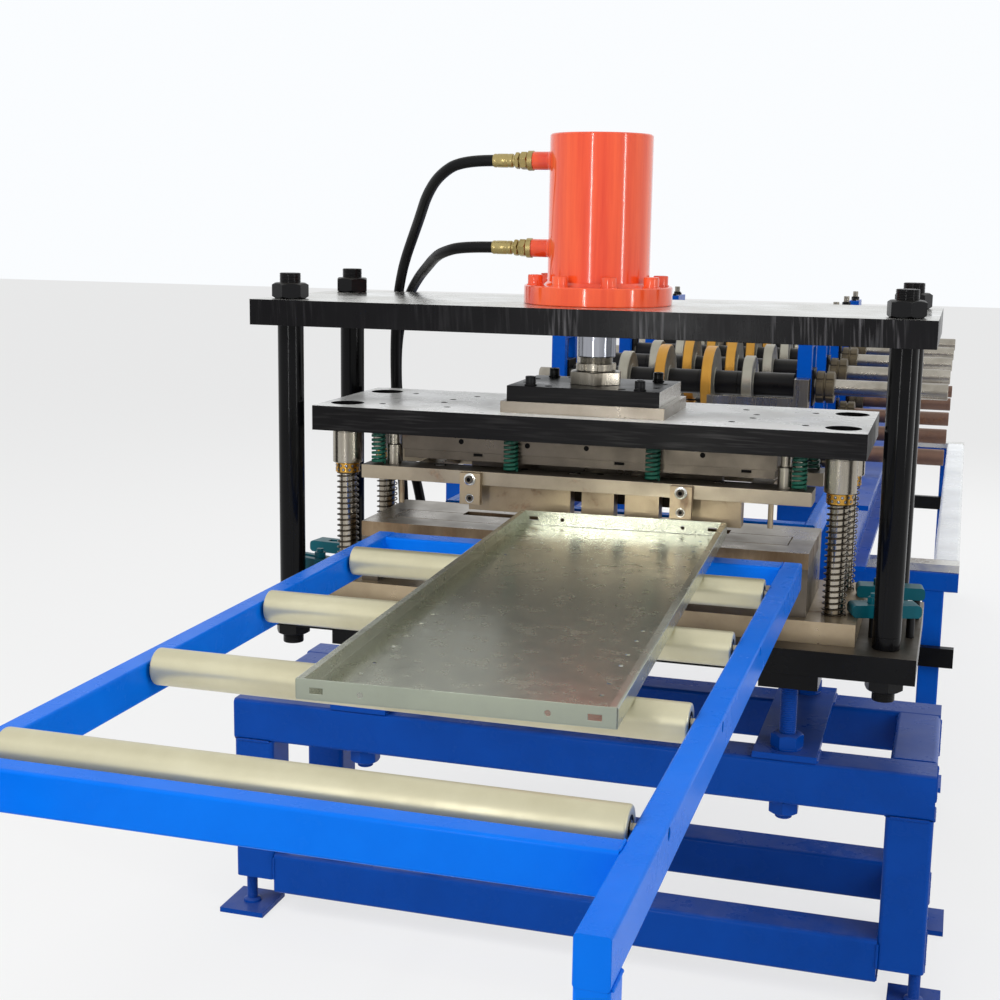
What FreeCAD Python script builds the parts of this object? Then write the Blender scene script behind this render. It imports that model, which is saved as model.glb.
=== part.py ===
"""Roll forming line: forming bed, four-column cut-off press and run-out table, in millimetres.

X runs across the line, Y runs against the feed (the panel leaves towards -Y), Z is up and the
floor is at zero.  Places are worked out about the centre of the press and shifted along Y as
the solids are written, so that the origin lies under the middle of the whole machine.
"""
import FreeCAD, Part
import math
import os

V = FreeCAD.Vector

# Running clearances and seats
RUN_CLEAR = 0.05
SLIDE_CLEAR = 0.3
HOLE_CLEAR = 0.5

# Press platens and columns
PLATEN_W = 1512.0
PLATEN_D = 532.0
TOP_T = 58.0
BOTTOM_T = 56.0
COLUMN_R = 30.0
COLUMN_INSET_X = 66.0
COLUMN_INSET_Y = 78.0
STUB_R = 23.5
COLUMN_NUT_AF = 73.0
COLUMN_NUT_H = 36.0
STUB_PROUD = 22.0
ROD_HOLE_R = 48.0

# Base frame of the press
BASE_OVERHANG = 57.0
BASE_D_LESS = 2.0
BASE_TOP = 545.0
BASE_TUBE = 100.0
BASE_TUBE_R = 10.0
BASE_LEG_FOOT = 96.0
LOW_RAIL_TOP = 162.0
FOOT_W = 114.0
FOOT_D = 130.0
FOOT_T = 12.0
FOOT_OFFSET = 32.0
FOOT_BOLT_R = 12.0
FOOT_NUT_AF = 36.0
FOOT_NUT_H = 16.0

# Jacking bars and bolts between base frame and press
JACK_INSET = 262.0
JACK_H = 193.0
JACK_BAR_W = 138.0
JACK_BAR_T = 14.0
JACK_BOLT_R = 18.5
JACK_NUT_AF = 62.0
JACK_NUT_H = 34.0
JACK_TAIL = 12.0
PLATEN_BAR_W = 126.0
PLATEN_BAR_T = 32.0

# Die side tooling
SHOE_INSET = 65.0
SHOE_D = 410.0
SHOE_T = 49.0
DIE_INSET = 173.0
DIE_D = 300.0
DIE_FORWARD = 30.0
DIE_T = 35.0
RISER_W = 40.0
RISER_H = 107.0
INNER_RISER_X = 160.0
INLAY_INSET = 52.0
INLAY_FRONT_INSET = 75.0
INLAY_D = 100.0
GROOVE_W = 3.0
GROOVE_DEPTH = 4.0
SLUG_SLOT_LONGER = 20.0
SLUG_SLOT_D = 44.0

# Moving platen
MOVING_GAP = 32.0
MOVING_D = 420.0
MOVING_T = 57.0
OPEN_H = 213.0
SCREW_HOLE_R = 8.0
SCREW_HOLE_DEPTH = 15.0
OUTER_SCREW_INSET = 138.0
INNER_SCREW_INSET = 298.0
MIDDLE_SCREW_INSET = 263.0
SCREW_ROW_Y = 115.0
MIDDLE_SCREW_Y = 33.0

# Adapter plates and rod end above the moving platen
ADAPTER_UP_W = 350.0
ADAPTER_UP_D = 260.0
ADAPTER_UP_T = 35.0
ADAPTER_MARGIN_X = 13.0
ADAPTER_MARGIN_Y = 6.0
ADAPTER_LOW_T = 26.0
ROD_FLANGE_R = 62.0
ROD_FLANGE_AF = 112.0
ROD_FLANGE_T = 30.0
ROUND_NUT_R = 46.0
ROUND_NUT_T = 18.0
NECK_R = 38.0
NECK_H = 14.0
ROD_R = 44.5
ROD_SHOWN = 62.0

# Hydraulic cylinder
CYL_Y = -25.0
BARREL_R = 116.0
BARREL_L = 335.0
BARREL_WALL = 21.0
BARREL_CAP = 30.0
FLANGE_R = 169.0
FLANGE_T = 42.0
FLANGE_SCREWS = 8
FLANGE_SCREW_R = 17.0
FLANGE_SCREW_HEAD = 23.0
PORT_UPPER_DROP = 58.0
PORT_LOWER_RISE = 81.0
PORT_BOSS_R = 20.5
PORT_BOSS_L = 55.0
PORT_HEX_AF = 36.0
PORT_HEX_L = 29.0
FERRULE_R = 16.0
FERRULE_L = 53.0
PISTON_T = 60.0

# Guide pillars, bushings, ball cages and their springs
PILLAR_INSET = 56.0
PILLAR_Y = 130.0
PILLAR_R = 20.0
PILLAR_SUNK = 23.0
PILLAR_SEAT = 40.0
BUSH_WALL = 5.7
BUSH_DROP = 83.0
BUSH_RECESS_WIDER = 4.0
BUSH_RECESS = 10.0
CAGE_WALL = 8.7
CAGE_SHOWN = 23.0
CAGE_H = 78.0
CAGE_SPRING_R = 26.5
CAGE_SPRING_WIRE = 3.0

# Punch side tooling
HOLDER_INSET = 193.0
HOLDER_D = 260.0
BACKING_T = 44.0
HOLDER_T = 20.0
HOLDER_STEP = 4.0
BLADE_END_GAP = 70.0
BLADE_T = 30.0
BLADE_GAP = 50.0
POST_GAP = 2.0
POST_Y = 132.0
POST_R = 11.0
POST_BIG_R = 17.0
POST_SHOULDER = 33.0

# Stripper
STRIPPER_T = 31.0
STRIPPER_Y = 180.0
STRIPPER_BAR_D = 85.0
TIE_INSET = 122.0
TIE_W = 50.0
TIE_T = 24.0
LINK_XS = (-247.0, 237.0)
LINK_W = 48.0
LINK_T = 16.0
LINK_TOP_GAP = 2.0
LINK_GAP = 60.0
PRESSER_GAP = 37.0
PRESSER_FRONT = -135.0
PRESSER_D = 40.0
PRESSER_EDGES = [(-268.0, -26.0), (0.0, 75.0), (100.0, 178.0), (205.0, 362.0)]
STOP_PIN_INSET = 89.0
STOP_PIN_Y = -150.0
STOP_PIN_R = 6.0
STOP_PIN_GAP = 45.0
DIE_SPRING_INSET = 31.0
INNER_SPRING_X = 164.0
DIE_SPRING_Y = 150.0
DIE_SPRING_L = 79.0
DIE_SPRING_R = 17.0
DIE_SPRING_WALL = 5.0

# Toe clamps on the die shoe
CLAMP_INSET = 19.0
CLAMP_FRONT = (-122.0, 18.5)
CLAMP_REAR = (76.0, 7.5)
CLAMP_L = 152.0
CLAMP_W = 50.0
CLAMP_T = 28.0
CLAMP_SLOT_W = 18.0
CLAMP_SLOT_IN = 38.0
CLAMP_SLOT_OUT = 44.0
CLAMP_STUD_IN = 52.0
CLAMP_STUD_R = 8.0
CLAMP_NUT_AF = 24.0
CLAMP_NUT_H = 14.0
HEEL_IN = 16.0
HEEL_R = 9.0

# Run-out table, with its top level with the die
TABLE_LEFT = -437.0
TABLE_RIGHT = 513.0
RAIL_W = 40.0
RAIL_H = 60.0
RAIL_R = 5.0
TABLE_REAR = -278.0
TABLE_FRONT = -2080.0
CROSS_FRONT_IN = 210.0
LEG_FOOT_W = 100.0
LEG_FOOT_T = 8.0
INFEED_RAIL_W = 25.0
INFEED_FRONT = 150.0
INFEED_BACK = 1060.0
INFEED_FOOT_L = 50.0
HANGER_XS = (-60.0, 250.0)
HANGER_W = 80.0
HANGER_T = 30.0
ROLLERS = 4
ROLLER_FIRST_Y = -536.0
ROLLER_PITCH = 413.0
ROLLER_R = 30.0
ROLLER_SINK = 11.0
ROLLER_GAP = 6.0
ROLLER_EDGE = 4.0
JOURNAL_R = 8.0
JOURNAL_IN_RAIL = 38.0

# Formed shelf panel on the table
PANEL_W = 468.0
PANEL_L = 1360.0
PANEL_H = 32.0
PANEL_SHEET = 1.5
PANEL_LIP = 12.0
PANEL_X = 130.0
PANEL_Y = -845.0
PANEL_TURN = 2.4

# Forming bed
LINE_X = -82.5
SLIDE_TOP = 698.0
STAND_BEAM_FRONT = 985.0
STAND_BEAM_H = 194.0
STAND_BEAM_GAP = 22.0
STAND_BEAM_IN = 362.5
STAND_BEAM_LIP = 36.0
BED_PLATE_T = 15.0
SLIDE_BAR_T = 23.0
SLIDE_BAR_W = 70.0
CROSS_BEAM_H = 60.0
CROSS_BEAM_W = 80.0
BED_HALF_W = 837.0
FRONT_CROSS_Y = 1200.0
BACK_CROSS_Y = 3900.0
OUTER_BEAM_W = 75.0
OUTER_BEAM_H = 90.0
BED_LEG_W = 61.0
BED_LEG_INSET = 39.0
LOW_RAIL_SHIN = 390.0
LOW_RAIL_H = 58.0
LOW_RAIL_D = 30.0
BED_FOOT_W = 120.0
BED_FOOT_T = 15.0

# Forming stations
STATIONS = 5
STATION_Y = 1600.0
STATION_PITCH = 523.0
BED_TAIL = 420.0
LOWER_RISE = 63.0
SHAFT_GAP = 210.0
SHAFT_R = 26.0
SHAFT_LEFT = -575.0
SHAFT_RIGHT = 768.0
SLEEVE_R = 40.0
ROLL_CENTRE = -65.0
ROLL_NEAR = 77.0
ROLL_FAR = 205.0
ROLL_T = 34.0
UPPER_NEAR_R = 119.0
UPPER_FAR_R = 92.0
ROLL_GAP = 6.0
STAND_XS = (-491.0, 322.0)
STAND_T = 45.0
STAND_D = 170.0
STAND_RISE = 185.0
STAND_HEAD_T = 55.0
CHOCK_T = 57.0
CHOCK_H = 116.0
CHOCK_D = 100.0
CHOCK_SCREW_R = 12.0
LOCKNUT_R = 52.0
LOCKNUT_L = 58.0
GUIDE_BAR_L = 321.0
GUIDE_BAR_DROP = 26.0
GUIDE_BAR_H = 32.0
GUIDE_BAR_D = 30.0
GUIDE_BAR_OUT = 70.0
GUIDE_POST_H = 93.0

# Heights and places that follow from the sizes above
BOTTOM_UNDER = BASE_TOP + JACK_H
BOTTOM_TOP = BOTTOM_UNDER + BOTTOM_T
SHOE_TOP = BOTTOM_TOP + SHOE_T
DIE_UNDER = SHOE_TOP + RISER_H
DIE_TOP = DIE_UNDER + DIE_T
MOVING_UNDER = DIE_TOP + OPEN_H
MOVING_TOP = MOVING_UNDER + MOVING_T
ADAPTER_LOW_TOP = MOVING_TOP + ADAPTER_LOW_T
ADAPTER_TOP = ADAPTER_LOW_TOP + ADAPTER_UP_T
ROD_FLANGE_TOP = ADAPTER_TOP + ROD_FLANGE_T
ROUND_NUT_TOP = ROD_FLANGE_TOP + ROUND_NUT_T
NECK_TOP = ROUND_NUT_TOP + NECK_H
TOP_UNDER = NECK_TOP + ROD_SHOWN
TOP_TOP = TOP_UNDER + TOP_T
FLANGE_TOP = TOP_TOP + FLANGE_T
BARREL_TOP = TOP_TOP + FLANGE_T + BARREL_L
BARREL_BORE_R = BARREL_R - BARREL_WALL
PISTON_Z = (FLANGE_TOP + BARREL_TOP - PISTON_T) / 2.0
PORT_UPPER_Z = BARREL_TOP - PORT_UPPER_DROP
PORT_LOWER_Z = FLANGE_TOP + PORT_LOWER_RISE
PORT_BOSS_X = BARREL_R + PORT_BOSS_L
PORT_END_X = PORT_BOSS_X + PORT_HEX_L + FERRULE_L
COLUMN_X = PLATEN_W / 2.0 - COLUMN_INSET_X
COLUMN_Y = PLATEN_D / 2.0 - COLUMN_INSET_Y
JACK_X = PLATEN_W / 2.0 - JACK_INSET
BASE_HALF = PLATEN_W / 2.0 + BASE_OVERHANG
BASE_BACK = (PLATEN_D - BASE_D_LESS) / 2.0
LEG_INNER_X = BASE_HALF - BASE_TUBE
LEG_INNER_Y = BASE_BACK - BASE_TUBE
LEG_MID_Y = BASE_BACK - BASE_TUBE / 2.0
BEAM_BOTTOM = BASE_TOP - BASE_TUBE
MOVING_W = 2.0 * (COLUMN_X - COLUMN_R - MOVING_GAP)
SHOE_HALF = COLUMN_X - SHOE_INSET
DIE_HALF = COLUMN_X - DIE_INSET
DIE_FRONT = -DIE_D / 2.0 - DIE_FORWARD
DIE_BACK = DIE_D / 2.0 - DIE_FORWARD
INLAY_HALF = DIE_HALF - INLAY_INSET
INLAY_FRONT = DIE_FRONT + INLAY_FRONT_INSET
PILLAR_X = MOVING_W / 2.0 - PILLAR_INSET
PILLAR_TOP = MOVING_TOP - PILLAR_SUNK
CAGE_R = PILLAR_R + SLIDE_CLEAR + CAGE_WALL
BUSH_R = CAGE_R + SLIDE_CLEAR + BUSH_WALL
BUSH_BOTTOM = MOVING_UNDER - BUSH_DROP
CAGE_BOTTOM = BUSH_BOTTOM - CAGE_SHOWN
HOLDER_HALF = MOVING_W / 2.0 - HOLDER_INSET
HOLDER_UNDER = MOVING_UNDER - BACKING_T - HOLDER_T
BLADE_BOTTOM = DIE_TOP + BLADE_GAP
BLADE_HALF = DIE_HALF - TIE_INSET - TIE_W / 2.0 - BLADE_END_GAP
SLUG_SLOT_HALF = BLADE_HALF + SLUG_SLOT_LONGER
POST_X = HOLDER_HALF + POST_BIG_R + POST_GAP
STRIPPER_TOP = MOVING_UNDER - DIE_SPRING_L
STRIPPER_UNDER = STRIPPER_TOP - STRIPPER_T
CLAMP_TOE_X = SHOE_HALF - CLAMP_INSET
TABLE_TOP = DIE_TOP
TABLE_UNDER = TABLE_TOP - RAIL_H
CROSS_FRONT_Y = TABLE_FRONT + CROSS_FRONT_IN
ROLLER_AXIS_Z = TABLE_TOP - ROLLER_SINK
RAIL_IN_LEFT = TABLE_LEFT + RAIL_W
RAIL_IN_RIGHT = TABLE_RIGHT - RAIL_W
STAND_BEAM_TOP = SLIDE_TOP + STAND_BEAM_H
STAND_BEAM_OUT = BED_HALF_W - OUTER_BEAM_W + LINE_X - STAND_BEAM_GAP
CROSS_BEAM_TOP = SLIDE_TOP - SLIDE_BAR_T
BED_LEG_IN = BED_HALF_W - BED_LEG_INSET - BED_LEG_W
LOWER_Z = STAND_BEAM_TOP + LOWER_RISE
UPPER_Z = LOWER_Z + SHAFT_GAP
STAND_TOP = UPPER_Z + STAND_RISE
STATION_YS = [STATION_Y + i * STATION_PITCH for i in range(STATIONS)]
BED_BACK = STATION_YS[-1] + BED_TAIL
LINE_MIDDLE = (TABLE_FRONT + BED_BACK) / 2.0

# Hydraulic hoses
HOSE_R = 13.0
HOSE_UPPER = [
    (-PORT_END_X, CYL_Y, PORT_UPPER_Z),
    (-330.0, CYL_Y, PORT_UPPER_Z),
    (-395.0, 5.0, 1785.0),
    (-445.0, 60.0, 1740.0),
    (-485.0, 125.0, 1690.0),
    (-525.0, 190.0, 1645.0),
    (-569.0, 250.0, 1584.0),
    (-597.0, 292.0, 1534.0),
    (-616.0, 318.0, 1474.0),
    (-625.0, 328.0, 1395.0),
    (-627.0, 330.0, 1316.0),
    (-624.0, 330.0, 1210.0),
    (-612.0, 330.0, 1070.0),
    (-600.0, 330.0, 950.0),
    (-600.0, 330.0, 830.0),
]
HOSE_LOWER = [
    (-PORT_END_X, CYL_Y, PORT_LOWER_Z),
    (-328.0, CYL_Y, PORT_LOWER_Z),
    (-390.0, 15.0, 1606.0),
    (-436.0, 90.0, 1590.0),
    (-483.0, 172.0, 1566.0),
    (-534.0, 262.0, 1541.0),
    (-580.0, 328.0, 1503.0),
    (-617.0, 366.0, 1447.0),
    (-638.0, 384.0, 1378.0),
    (-645.0, 390.0, 1306.0),
    (-641.0, 388.0, 1204.0),
    (-612.0, 384.0, 1080.0),
    (-570.0, 364.0, 965.0),
    (-545.0, 330.0, 890.0),
    (-545.0, 330.0, 830.0),
]
BULKHEAD_W = 150.0
BULKHEAD_T = 10.0
BULKHEAD_DROP = 14.0
BULKHEAD_Z = BOTTOM_TOP - BULKHEAD_DROP
FITTING_R = 16.0
FITTING_HEX_AF = 36.0
FITTING_NUT_H = 20.0


def box(x0, x1, y0, y1, z0, z1):
    """Block between two corners."""
    return Part.makeBox(x1 - x0, y1 - y0, z1 - z0, V(x0, y0, z0))


def rod_z(x, y, z0, z1, r):
    """Upright cylinder."""
    return Part.makeCylinder(r, z1 - z0, V(x, y, z0), V(0, 0, 1))


def rod_x(y, z, x0, x1, r):
    """Cylinder along X."""
    return Part.makeCylinder(r, x1 - x0, V(x0, y, z), V(1, 0, 0))


def pipe_z(x, y, z0, z1, r_out, r_in):
    """Upright sleeve."""
    return rod_z(x, y, z0, z1, r_out).cut(rod_z(x, y, z0, z1, r_in))


def hexagon(centre, across_flats, length, axis):
    """Hexagonal prism from centre along axis."""
    radius = across_flats / math.sqrt(3.0)
    corners = []
    for i in range(7):
        angle = math.radians(60.0 * i)
        corners.append(V(radius * math.cos(angle), radius * math.sin(angle), 0))
    prism = Part.Face(Part.makePolygon(corners)).extrude(V(0, 0, length))
    turn = FreeCAD.Rotation(V(0, 0, 1), axis)
    prism.Placement = FreeCAD.Placement(centre, turn)
    return prism


def soften(shape, radius, along):
    """Round the long edges of a block, those that run along one axis."""
    edges = []
    for edge in shape.Edges:
        run = edge.Vertexes[-1].Point - edge.Vertexes[0].Point
        if run.Length and abs(run.normalize().dot(along)) > 0.999:
            edges.append(edge)
    return shape.makeFillet(radius, edges)


def tube(x0, x1, y0, y1, z0, z1, along, radius=BASE_TUBE_R):
    """Rectangular hollow section seen as its closed outer form, with rounded long edges."""
    return soften(box(x0, x1, y0, y1, z0, z1), radius, along)


def lathe_z(x, y, profile):
    """Turned piece about an upright axis, from (radius, z) points."""
    points = [V(r, 0, z) for r, z in profile]
    points.append(points[0])
    face = Part.Face(Part.makePolygon(points))
    piece = face.revolve(V(0, 0, 0), V(0, 0, 1), 360)
    piece.translate(V(x, y, 0))
    return piece


def lathe_x(y, z, profile):
    """Turned piece about an axis along X, from (x, radius) points."""
    points = [V(x, 0, r) for x, r in profile]
    points.append(points[0])
    face = Part.Face(Part.makePolygon(points))
    piece = face.revolve(V(0, 0, 0), V(1, 0, 0), 360)
    piece.translate(V(0, y, z))
    return piece


def both(value):
    """A place and its mirror image, left first."""
    return (-value, value)


def write(name, solids):
    """Write one node, shifted so that the origin is under the middle of the machine."""
    shape = Part.makeCompound(solids) if len(solids) > 1 else solids[0]
    shape = shape.copy()
    shape.translate(V(0, -LINE_MIDDLE, 0))
    shape.exportStep("parts/%s.step" % name)


def make_base():
    """Welded base frame with its feet and the jacking gear that carries the press."""
    legs = []
    feet = []
    for sx in (-1, 1):
        for sy in (-1, 1):
            xs = sorted((sx * LEG_INNER_X, sx * BASE_HALF))
            ys = sorted((sy * LEG_INNER_Y, sy * BASE_BACK))
            legs.append(tube(xs[0], xs[1], ys[0], ys[1], BASE_LEG_FOOT, BEAM_BOTTOM, V(0, 0, 1)))
            fx = sx * (BASE_HALF - BASE_TUBE / 2.0 + FOOT_OFFSET)
            fy = sy * LEG_MID_Y
            pad = box(fx - FOOT_W / 2, fx + FOOT_W / 2, fy - FOOT_D / 2, fy + FOOT_D / 2, 0, FOOT_T)
            bolt = rod_z(fx, fy, FOOT_T, BASE_LEG_FOOT, FOOT_BOLT_R)
            nut = hexagon(V(fx, fy, BASE_LEG_FOOT - FOOT_NUT_H), FOOT_NUT_AF, FOOT_NUT_H, V(0, 0, 1))
            feet.append(pad.fuse(bolt).fuse(nut).removeSplitter())
    write("base_legs", legs)
    write("levelling_feet", feet)

    rails = []
    for sy in (-1, 1):
        ys = sorted((sy * LEG_INNER_Y, sy * BASE_BACK))
        beam = tube(-BASE_HALF, BASE_HALF, ys[0], ys[1], BEAM_BOTTOM, BASE_TOP, V(1, 0, 0))
        for x in both(JACK_X):
            beam = beam.cut(rod_z(x, sy * LEG_MID_Y, BEAM_BOTTOM, BASE_TOP, JACK_BOLT_R + HOLE_CLEAR))
        rails.append(beam)
        rails.append(tube(-LEG_INNER_X, LEG_INNER_X, ys[0], ys[1],
                          LOW_RAIL_TOP - BASE_TUBE, LOW_RAIL_TOP, V(1, 0, 0)))
    write("base_long_rails", rails)

    sides = []
    for sx in (-1, 1):
        xs = sorted((sx * LEG_INNER_X, sx * BASE_HALF))
        for top in (BASE_TOP, LOW_RAIL_TOP):
            sides.append(tube(xs[0], xs[1], -LEG_INNER_Y, LEG_INNER_Y, top - BASE_TUBE, top, V(0, 1, 0)))
    write("base_side_rails", sides)

    bars = []
    for x in both(JACK_X):
        low = box(x - JACK_BAR_W / 2, x + JACK_BAR_W / 2, -BASE_BACK, BASE_BACK,
                  BASE_TOP, BASE_TOP + JACK_BAR_T)
        for y in both(LEG_MID_Y):
            low = low.cut(rod_z(x, y, BASE_TOP, BASE_TOP + JACK_BAR_T, JACK_BOLT_R + HOLE_CLEAR))
        bars.append(low)
        bars.append(box(x - PLATEN_BAR_W / 2, x + PLATEN_BAR_W / 2, -BASE_BACK, BASE_BACK,
                        BOTTOM_UNDER - PLATEN_BAR_T, BOTTOM_UNDER))
    write("jack_bars", bars)

    bolts = []
    for x in both(JACK_X):
        for y in both(LEG_MID_Y):
            bolt = rod_z(x, y, BEAM_BOTTOM - JACK_NUT_H - JACK_TAIL, BOTTOM_UNDER - PLATEN_BAR_T, JACK_BOLT_R)
            upper = hexagon(V(x, y, BASE_TOP + JACK_BAR_T), JACK_NUT_AF, JACK_NUT_H, V(0, 0, 1))
            lower = hexagon(V(x, y, BEAM_BOTTOM - JACK_NUT_H), JACK_NUT_AF, JACK_NUT_H, V(0, 0, 1))
            bolts.append(bolt.fuse([upper, lower]).removeSplitter())
    write("jack_bolts", bolts)


def make_press_frame():
    """Two platens held apart by four shouldered columns with nuts at both ends."""
    half_w = PLATEN_W / 2
    half_d = PLATEN_D / 2
    bottom = box(-half_w, half_w, -half_d, half_d, BOTTOM_UNDER, BOTTOM_TOP)
    top = box(-half_w, half_w, -half_d, half_d, TOP_UNDER, TOP_TOP)
    columns = []
    nuts = []
    for x in both(COLUMN_X):
        for y in both(COLUMN_Y):
            bottom = bottom.cut(rod_z(x, y, BOTTOM_UNDER, BOTTOM_TOP, STUB_R + HOLE_CLEAR))
            top = top.cut(rod_z(x, y, TOP_UNDER, TOP_TOP, STUB_R + HOLE_CLEAR))
            low_end = BOTTOM_UNDER - COLUMN_NUT_H - STUB_PROUD
            high_end = TOP_TOP + COLUMN_NUT_H + STUB_PROUD
            columns.append(lathe_z(x, y, [
                (0, low_end), (STUB_R, low_end), (STUB_R, BOTTOM_TOP), (COLUMN_R, BOTTOM_TOP),
                (COLUMN_R, TOP_UNDER), (STUB_R, TOP_UNDER), (STUB_R, high_end), (0, high_end)]))
            for z in (TOP_TOP, BOTTOM_UNDER - COLUMN_NUT_H):
                nut = hexagon(V(x, y, z), COLUMN_NUT_AF, COLUMN_NUT_H, V(0, 0, 1))
                nuts.append(nut.cut(rod_z(x, y, z, z + COLUMN_NUT_H, STUB_R + RUN_CLEAR)))
    top = top.cut(rod_z(0, CYL_Y, TOP_UNDER, TOP_TOP, ROD_HOLE_R))
    write("bottom_platen", [bottom])
    write("top_platen", [top])
    write("columns", columns)
    write("column_nuts", nuts)


def make_cylinder():
    """Flanged hydraulic cylinder with two side ports, and its fittings."""
    gland_r = ROD_R + RUN_CLEAR
    barrel = lathe_z(0, CYL_Y, [
        (gland_r, TOP_TOP), (FLANGE_R, TOP_TOP), (FLANGE_R, FLANGE_TOP), (BARREL_R, FLANGE_TOP),
        (BARREL_R, BARREL_TOP), (0, BARREL_TOP), (0, BARREL_TOP - BARREL_CAP),
        (BARREL_BORE_R, BARREL_TOP - BARREL_CAP), (BARREL_BORE_R, FLANGE_TOP), (gland_r, FLANGE_TOP)])
    wall_mid = (BARREL_R + BARREL_BORE_R) / 2
    for z in (PORT_UPPER_Z, PORT_LOWER_Z):
        barrel = barrel.fuse(rod_x(CYL_Y, z, -PORT_BOSS_X, -wall_mid, PORT_BOSS_R))
    circle_r = (FLANGE_R + BARREL_R) / 2 + 2.0
    heads = []
    for i in range(FLANGE_SCREWS):
        angle = 2 * math.pi * (i + 0.5) / FLANGE_SCREWS
        heads.append(rod_z(circle_r * math.cos(angle), CYL_Y + circle_r * math.sin(angle),
                           FLANGE_TOP, FLANGE_TOP + FLANGE_SCREW_HEAD, FLANGE_SCREW_R))
    write("cylinder_barrel", [barrel.fuse(heads).removeSplitter()])

    fittings = []
    for z in (PORT_UPPER_Z, PORT_LOWER_Z):
        nut = hexagon(V(-PORT_BOSS_X, CYL_Y, z), PORT_HEX_AF, PORT_HEX_L, V(-1, 0, 0))
        ferrule = rod_x(CYL_Y, z, -PORT_END_X, -PORT_BOSS_X - PORT_HEX_L, FERRULE_R)
        fittings.append(nut.fuse(ferrule))
    write("port_fittings", fittings)

    rod = lathe_z(0, CYL_Y, [
        (0, ADAPTER_TOP), (ROD_FLANGE_R, ADAPTER_TOP), (ROD_FLANGE_R, ROD_FLANGE_TOP),
        (ROUND_NUT_R, ROD_FLANGE_TOP), (ROUND_NUT_R, ROUND_NUT_TOP), (NECK_R, ROUND_NUT_TOP),
        (NECK_R, NECK_TOP), (ROD_R, NECK_TOP), (ROD_R, PISTON_Z),
        (BARREL_BORE_R - SLIDE_CLEAR, PISTON_Z), (BARREL_BORE_R - SLIDE_CLEAR, PISTON_Z + PISTON_T),
        (0, PISTON_Z + PISTON_T)])
    flats = hexagon(V(0, CYL_Y, ADAPTER_TOP), ROD_FLANGE_AF, PISTON_Z + PISTON_T - ADAPTER_TOP, V(0, 0, 1))
    wide = rod_z(0, CYL_Y, ROD_FLANGE_TOP, PISTON_Z + PISTON_T, BARREL_R)
    write("piston_rod", [rod.common(flats.fuse(wide))])


def cord_radii(points):
    """Largest arc at each inner point of a route: 0.45 of the shorter run."""
    radii = []
    for before, here, after in zip(points, points[1:], points[2:]):
        a = here - before
        b = after - here
        turn = a.getAngle(b)
        radii.append(0.45 * min(a.Length, b.Length) / math.tan(turn / 2))
    return radii


def cord(route, radius):
    """Tube along straight runs joined by tangent arcs."""
    points = [V(*p) for p in route]
    radii = cord_radii(points)
    edges = []
    start = points[0]
    for i, arc_r in enumerate(radii):
        before, here, after = points[i], points[i + 1], points[i + 2]
        into = (here - before).normalize()
        out = (after - here).normalize()
        turn = into.getAngle(out)
        cut = arc_r * math.tan(turn / 2)
        a = here - into * cut
        b = here + out * cut
        bisector = (out - into).normalize()
        centre = here + bisector * (arc_r / math.cos(turn / 2))
        middle = centre - bisector * arc_r
        edges.append(Part.LineSegment(start, a).toShape())
        edges.append(Part.Arc(a, middle, b).toShape())
        start = b
    edges.append(Part.LineSegment(start, points[-1]).toShape())
    path = Part.Wire(edges)
    ring = Part.Wire([Part.Circle(points[0], points[1] - points[0], radius).toShape()])
    return path.makePipeShell([ring], True, False, 0)


def make_hoses():
    """Two pressure hoses from the ports down the back of the press to bulkhead couplings."""
    write("hose_upper", [cord(HOSE_UPPER, HOSE_R)])
    write("hose_lower", [cord(HOSE_LOWER, HOSE_R)])
    back = PLATEN_D / 2
    ends = (HOSE_UPPER[-1], HOSE_LOWER[-1])
    middle = (ends[0][0] + ends[1][0]) / 2
    out = ends[0][1] + FITTING_HEX_AF
    upright = box(middle - BULKHEAD_W / 2, middle + BULKHEAD_W / 2, back, back + BULKHEAD_T,
                  BOTTOM_UNDER, BULKHEAD_Z)
    shelf = box(middle - BULKHEAD_W / 2, middle + BULKHEAD_W / 2, back, out,
                BULKHEAD_Z - BULKHEAD_T, BULKHEAD_Z)
    bracket = upright.fuse(shelf)
    for x, y, z in ends:
        nut = hexagon(V(x, y, BULKHEAD_Z), FITTING_HEX_AF, (z - BULKHEAD_Z) / 2, V(0, 0, 1))
        lower = hexagon(V(x, y, BULKHEAD_Z - BULKHEAD_T - FITTING_NUT_H), FITTING_HEX_AF,
                        FITTING_NUT_H, V(0, 0, 1))
        bracket = bracket.fuse([nut, lower, rod_z(x, y, BULKHEAD_Z, z, FITTING_R)])
    write("hose_bulkhead", [bracket.removeSplitter()])


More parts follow.
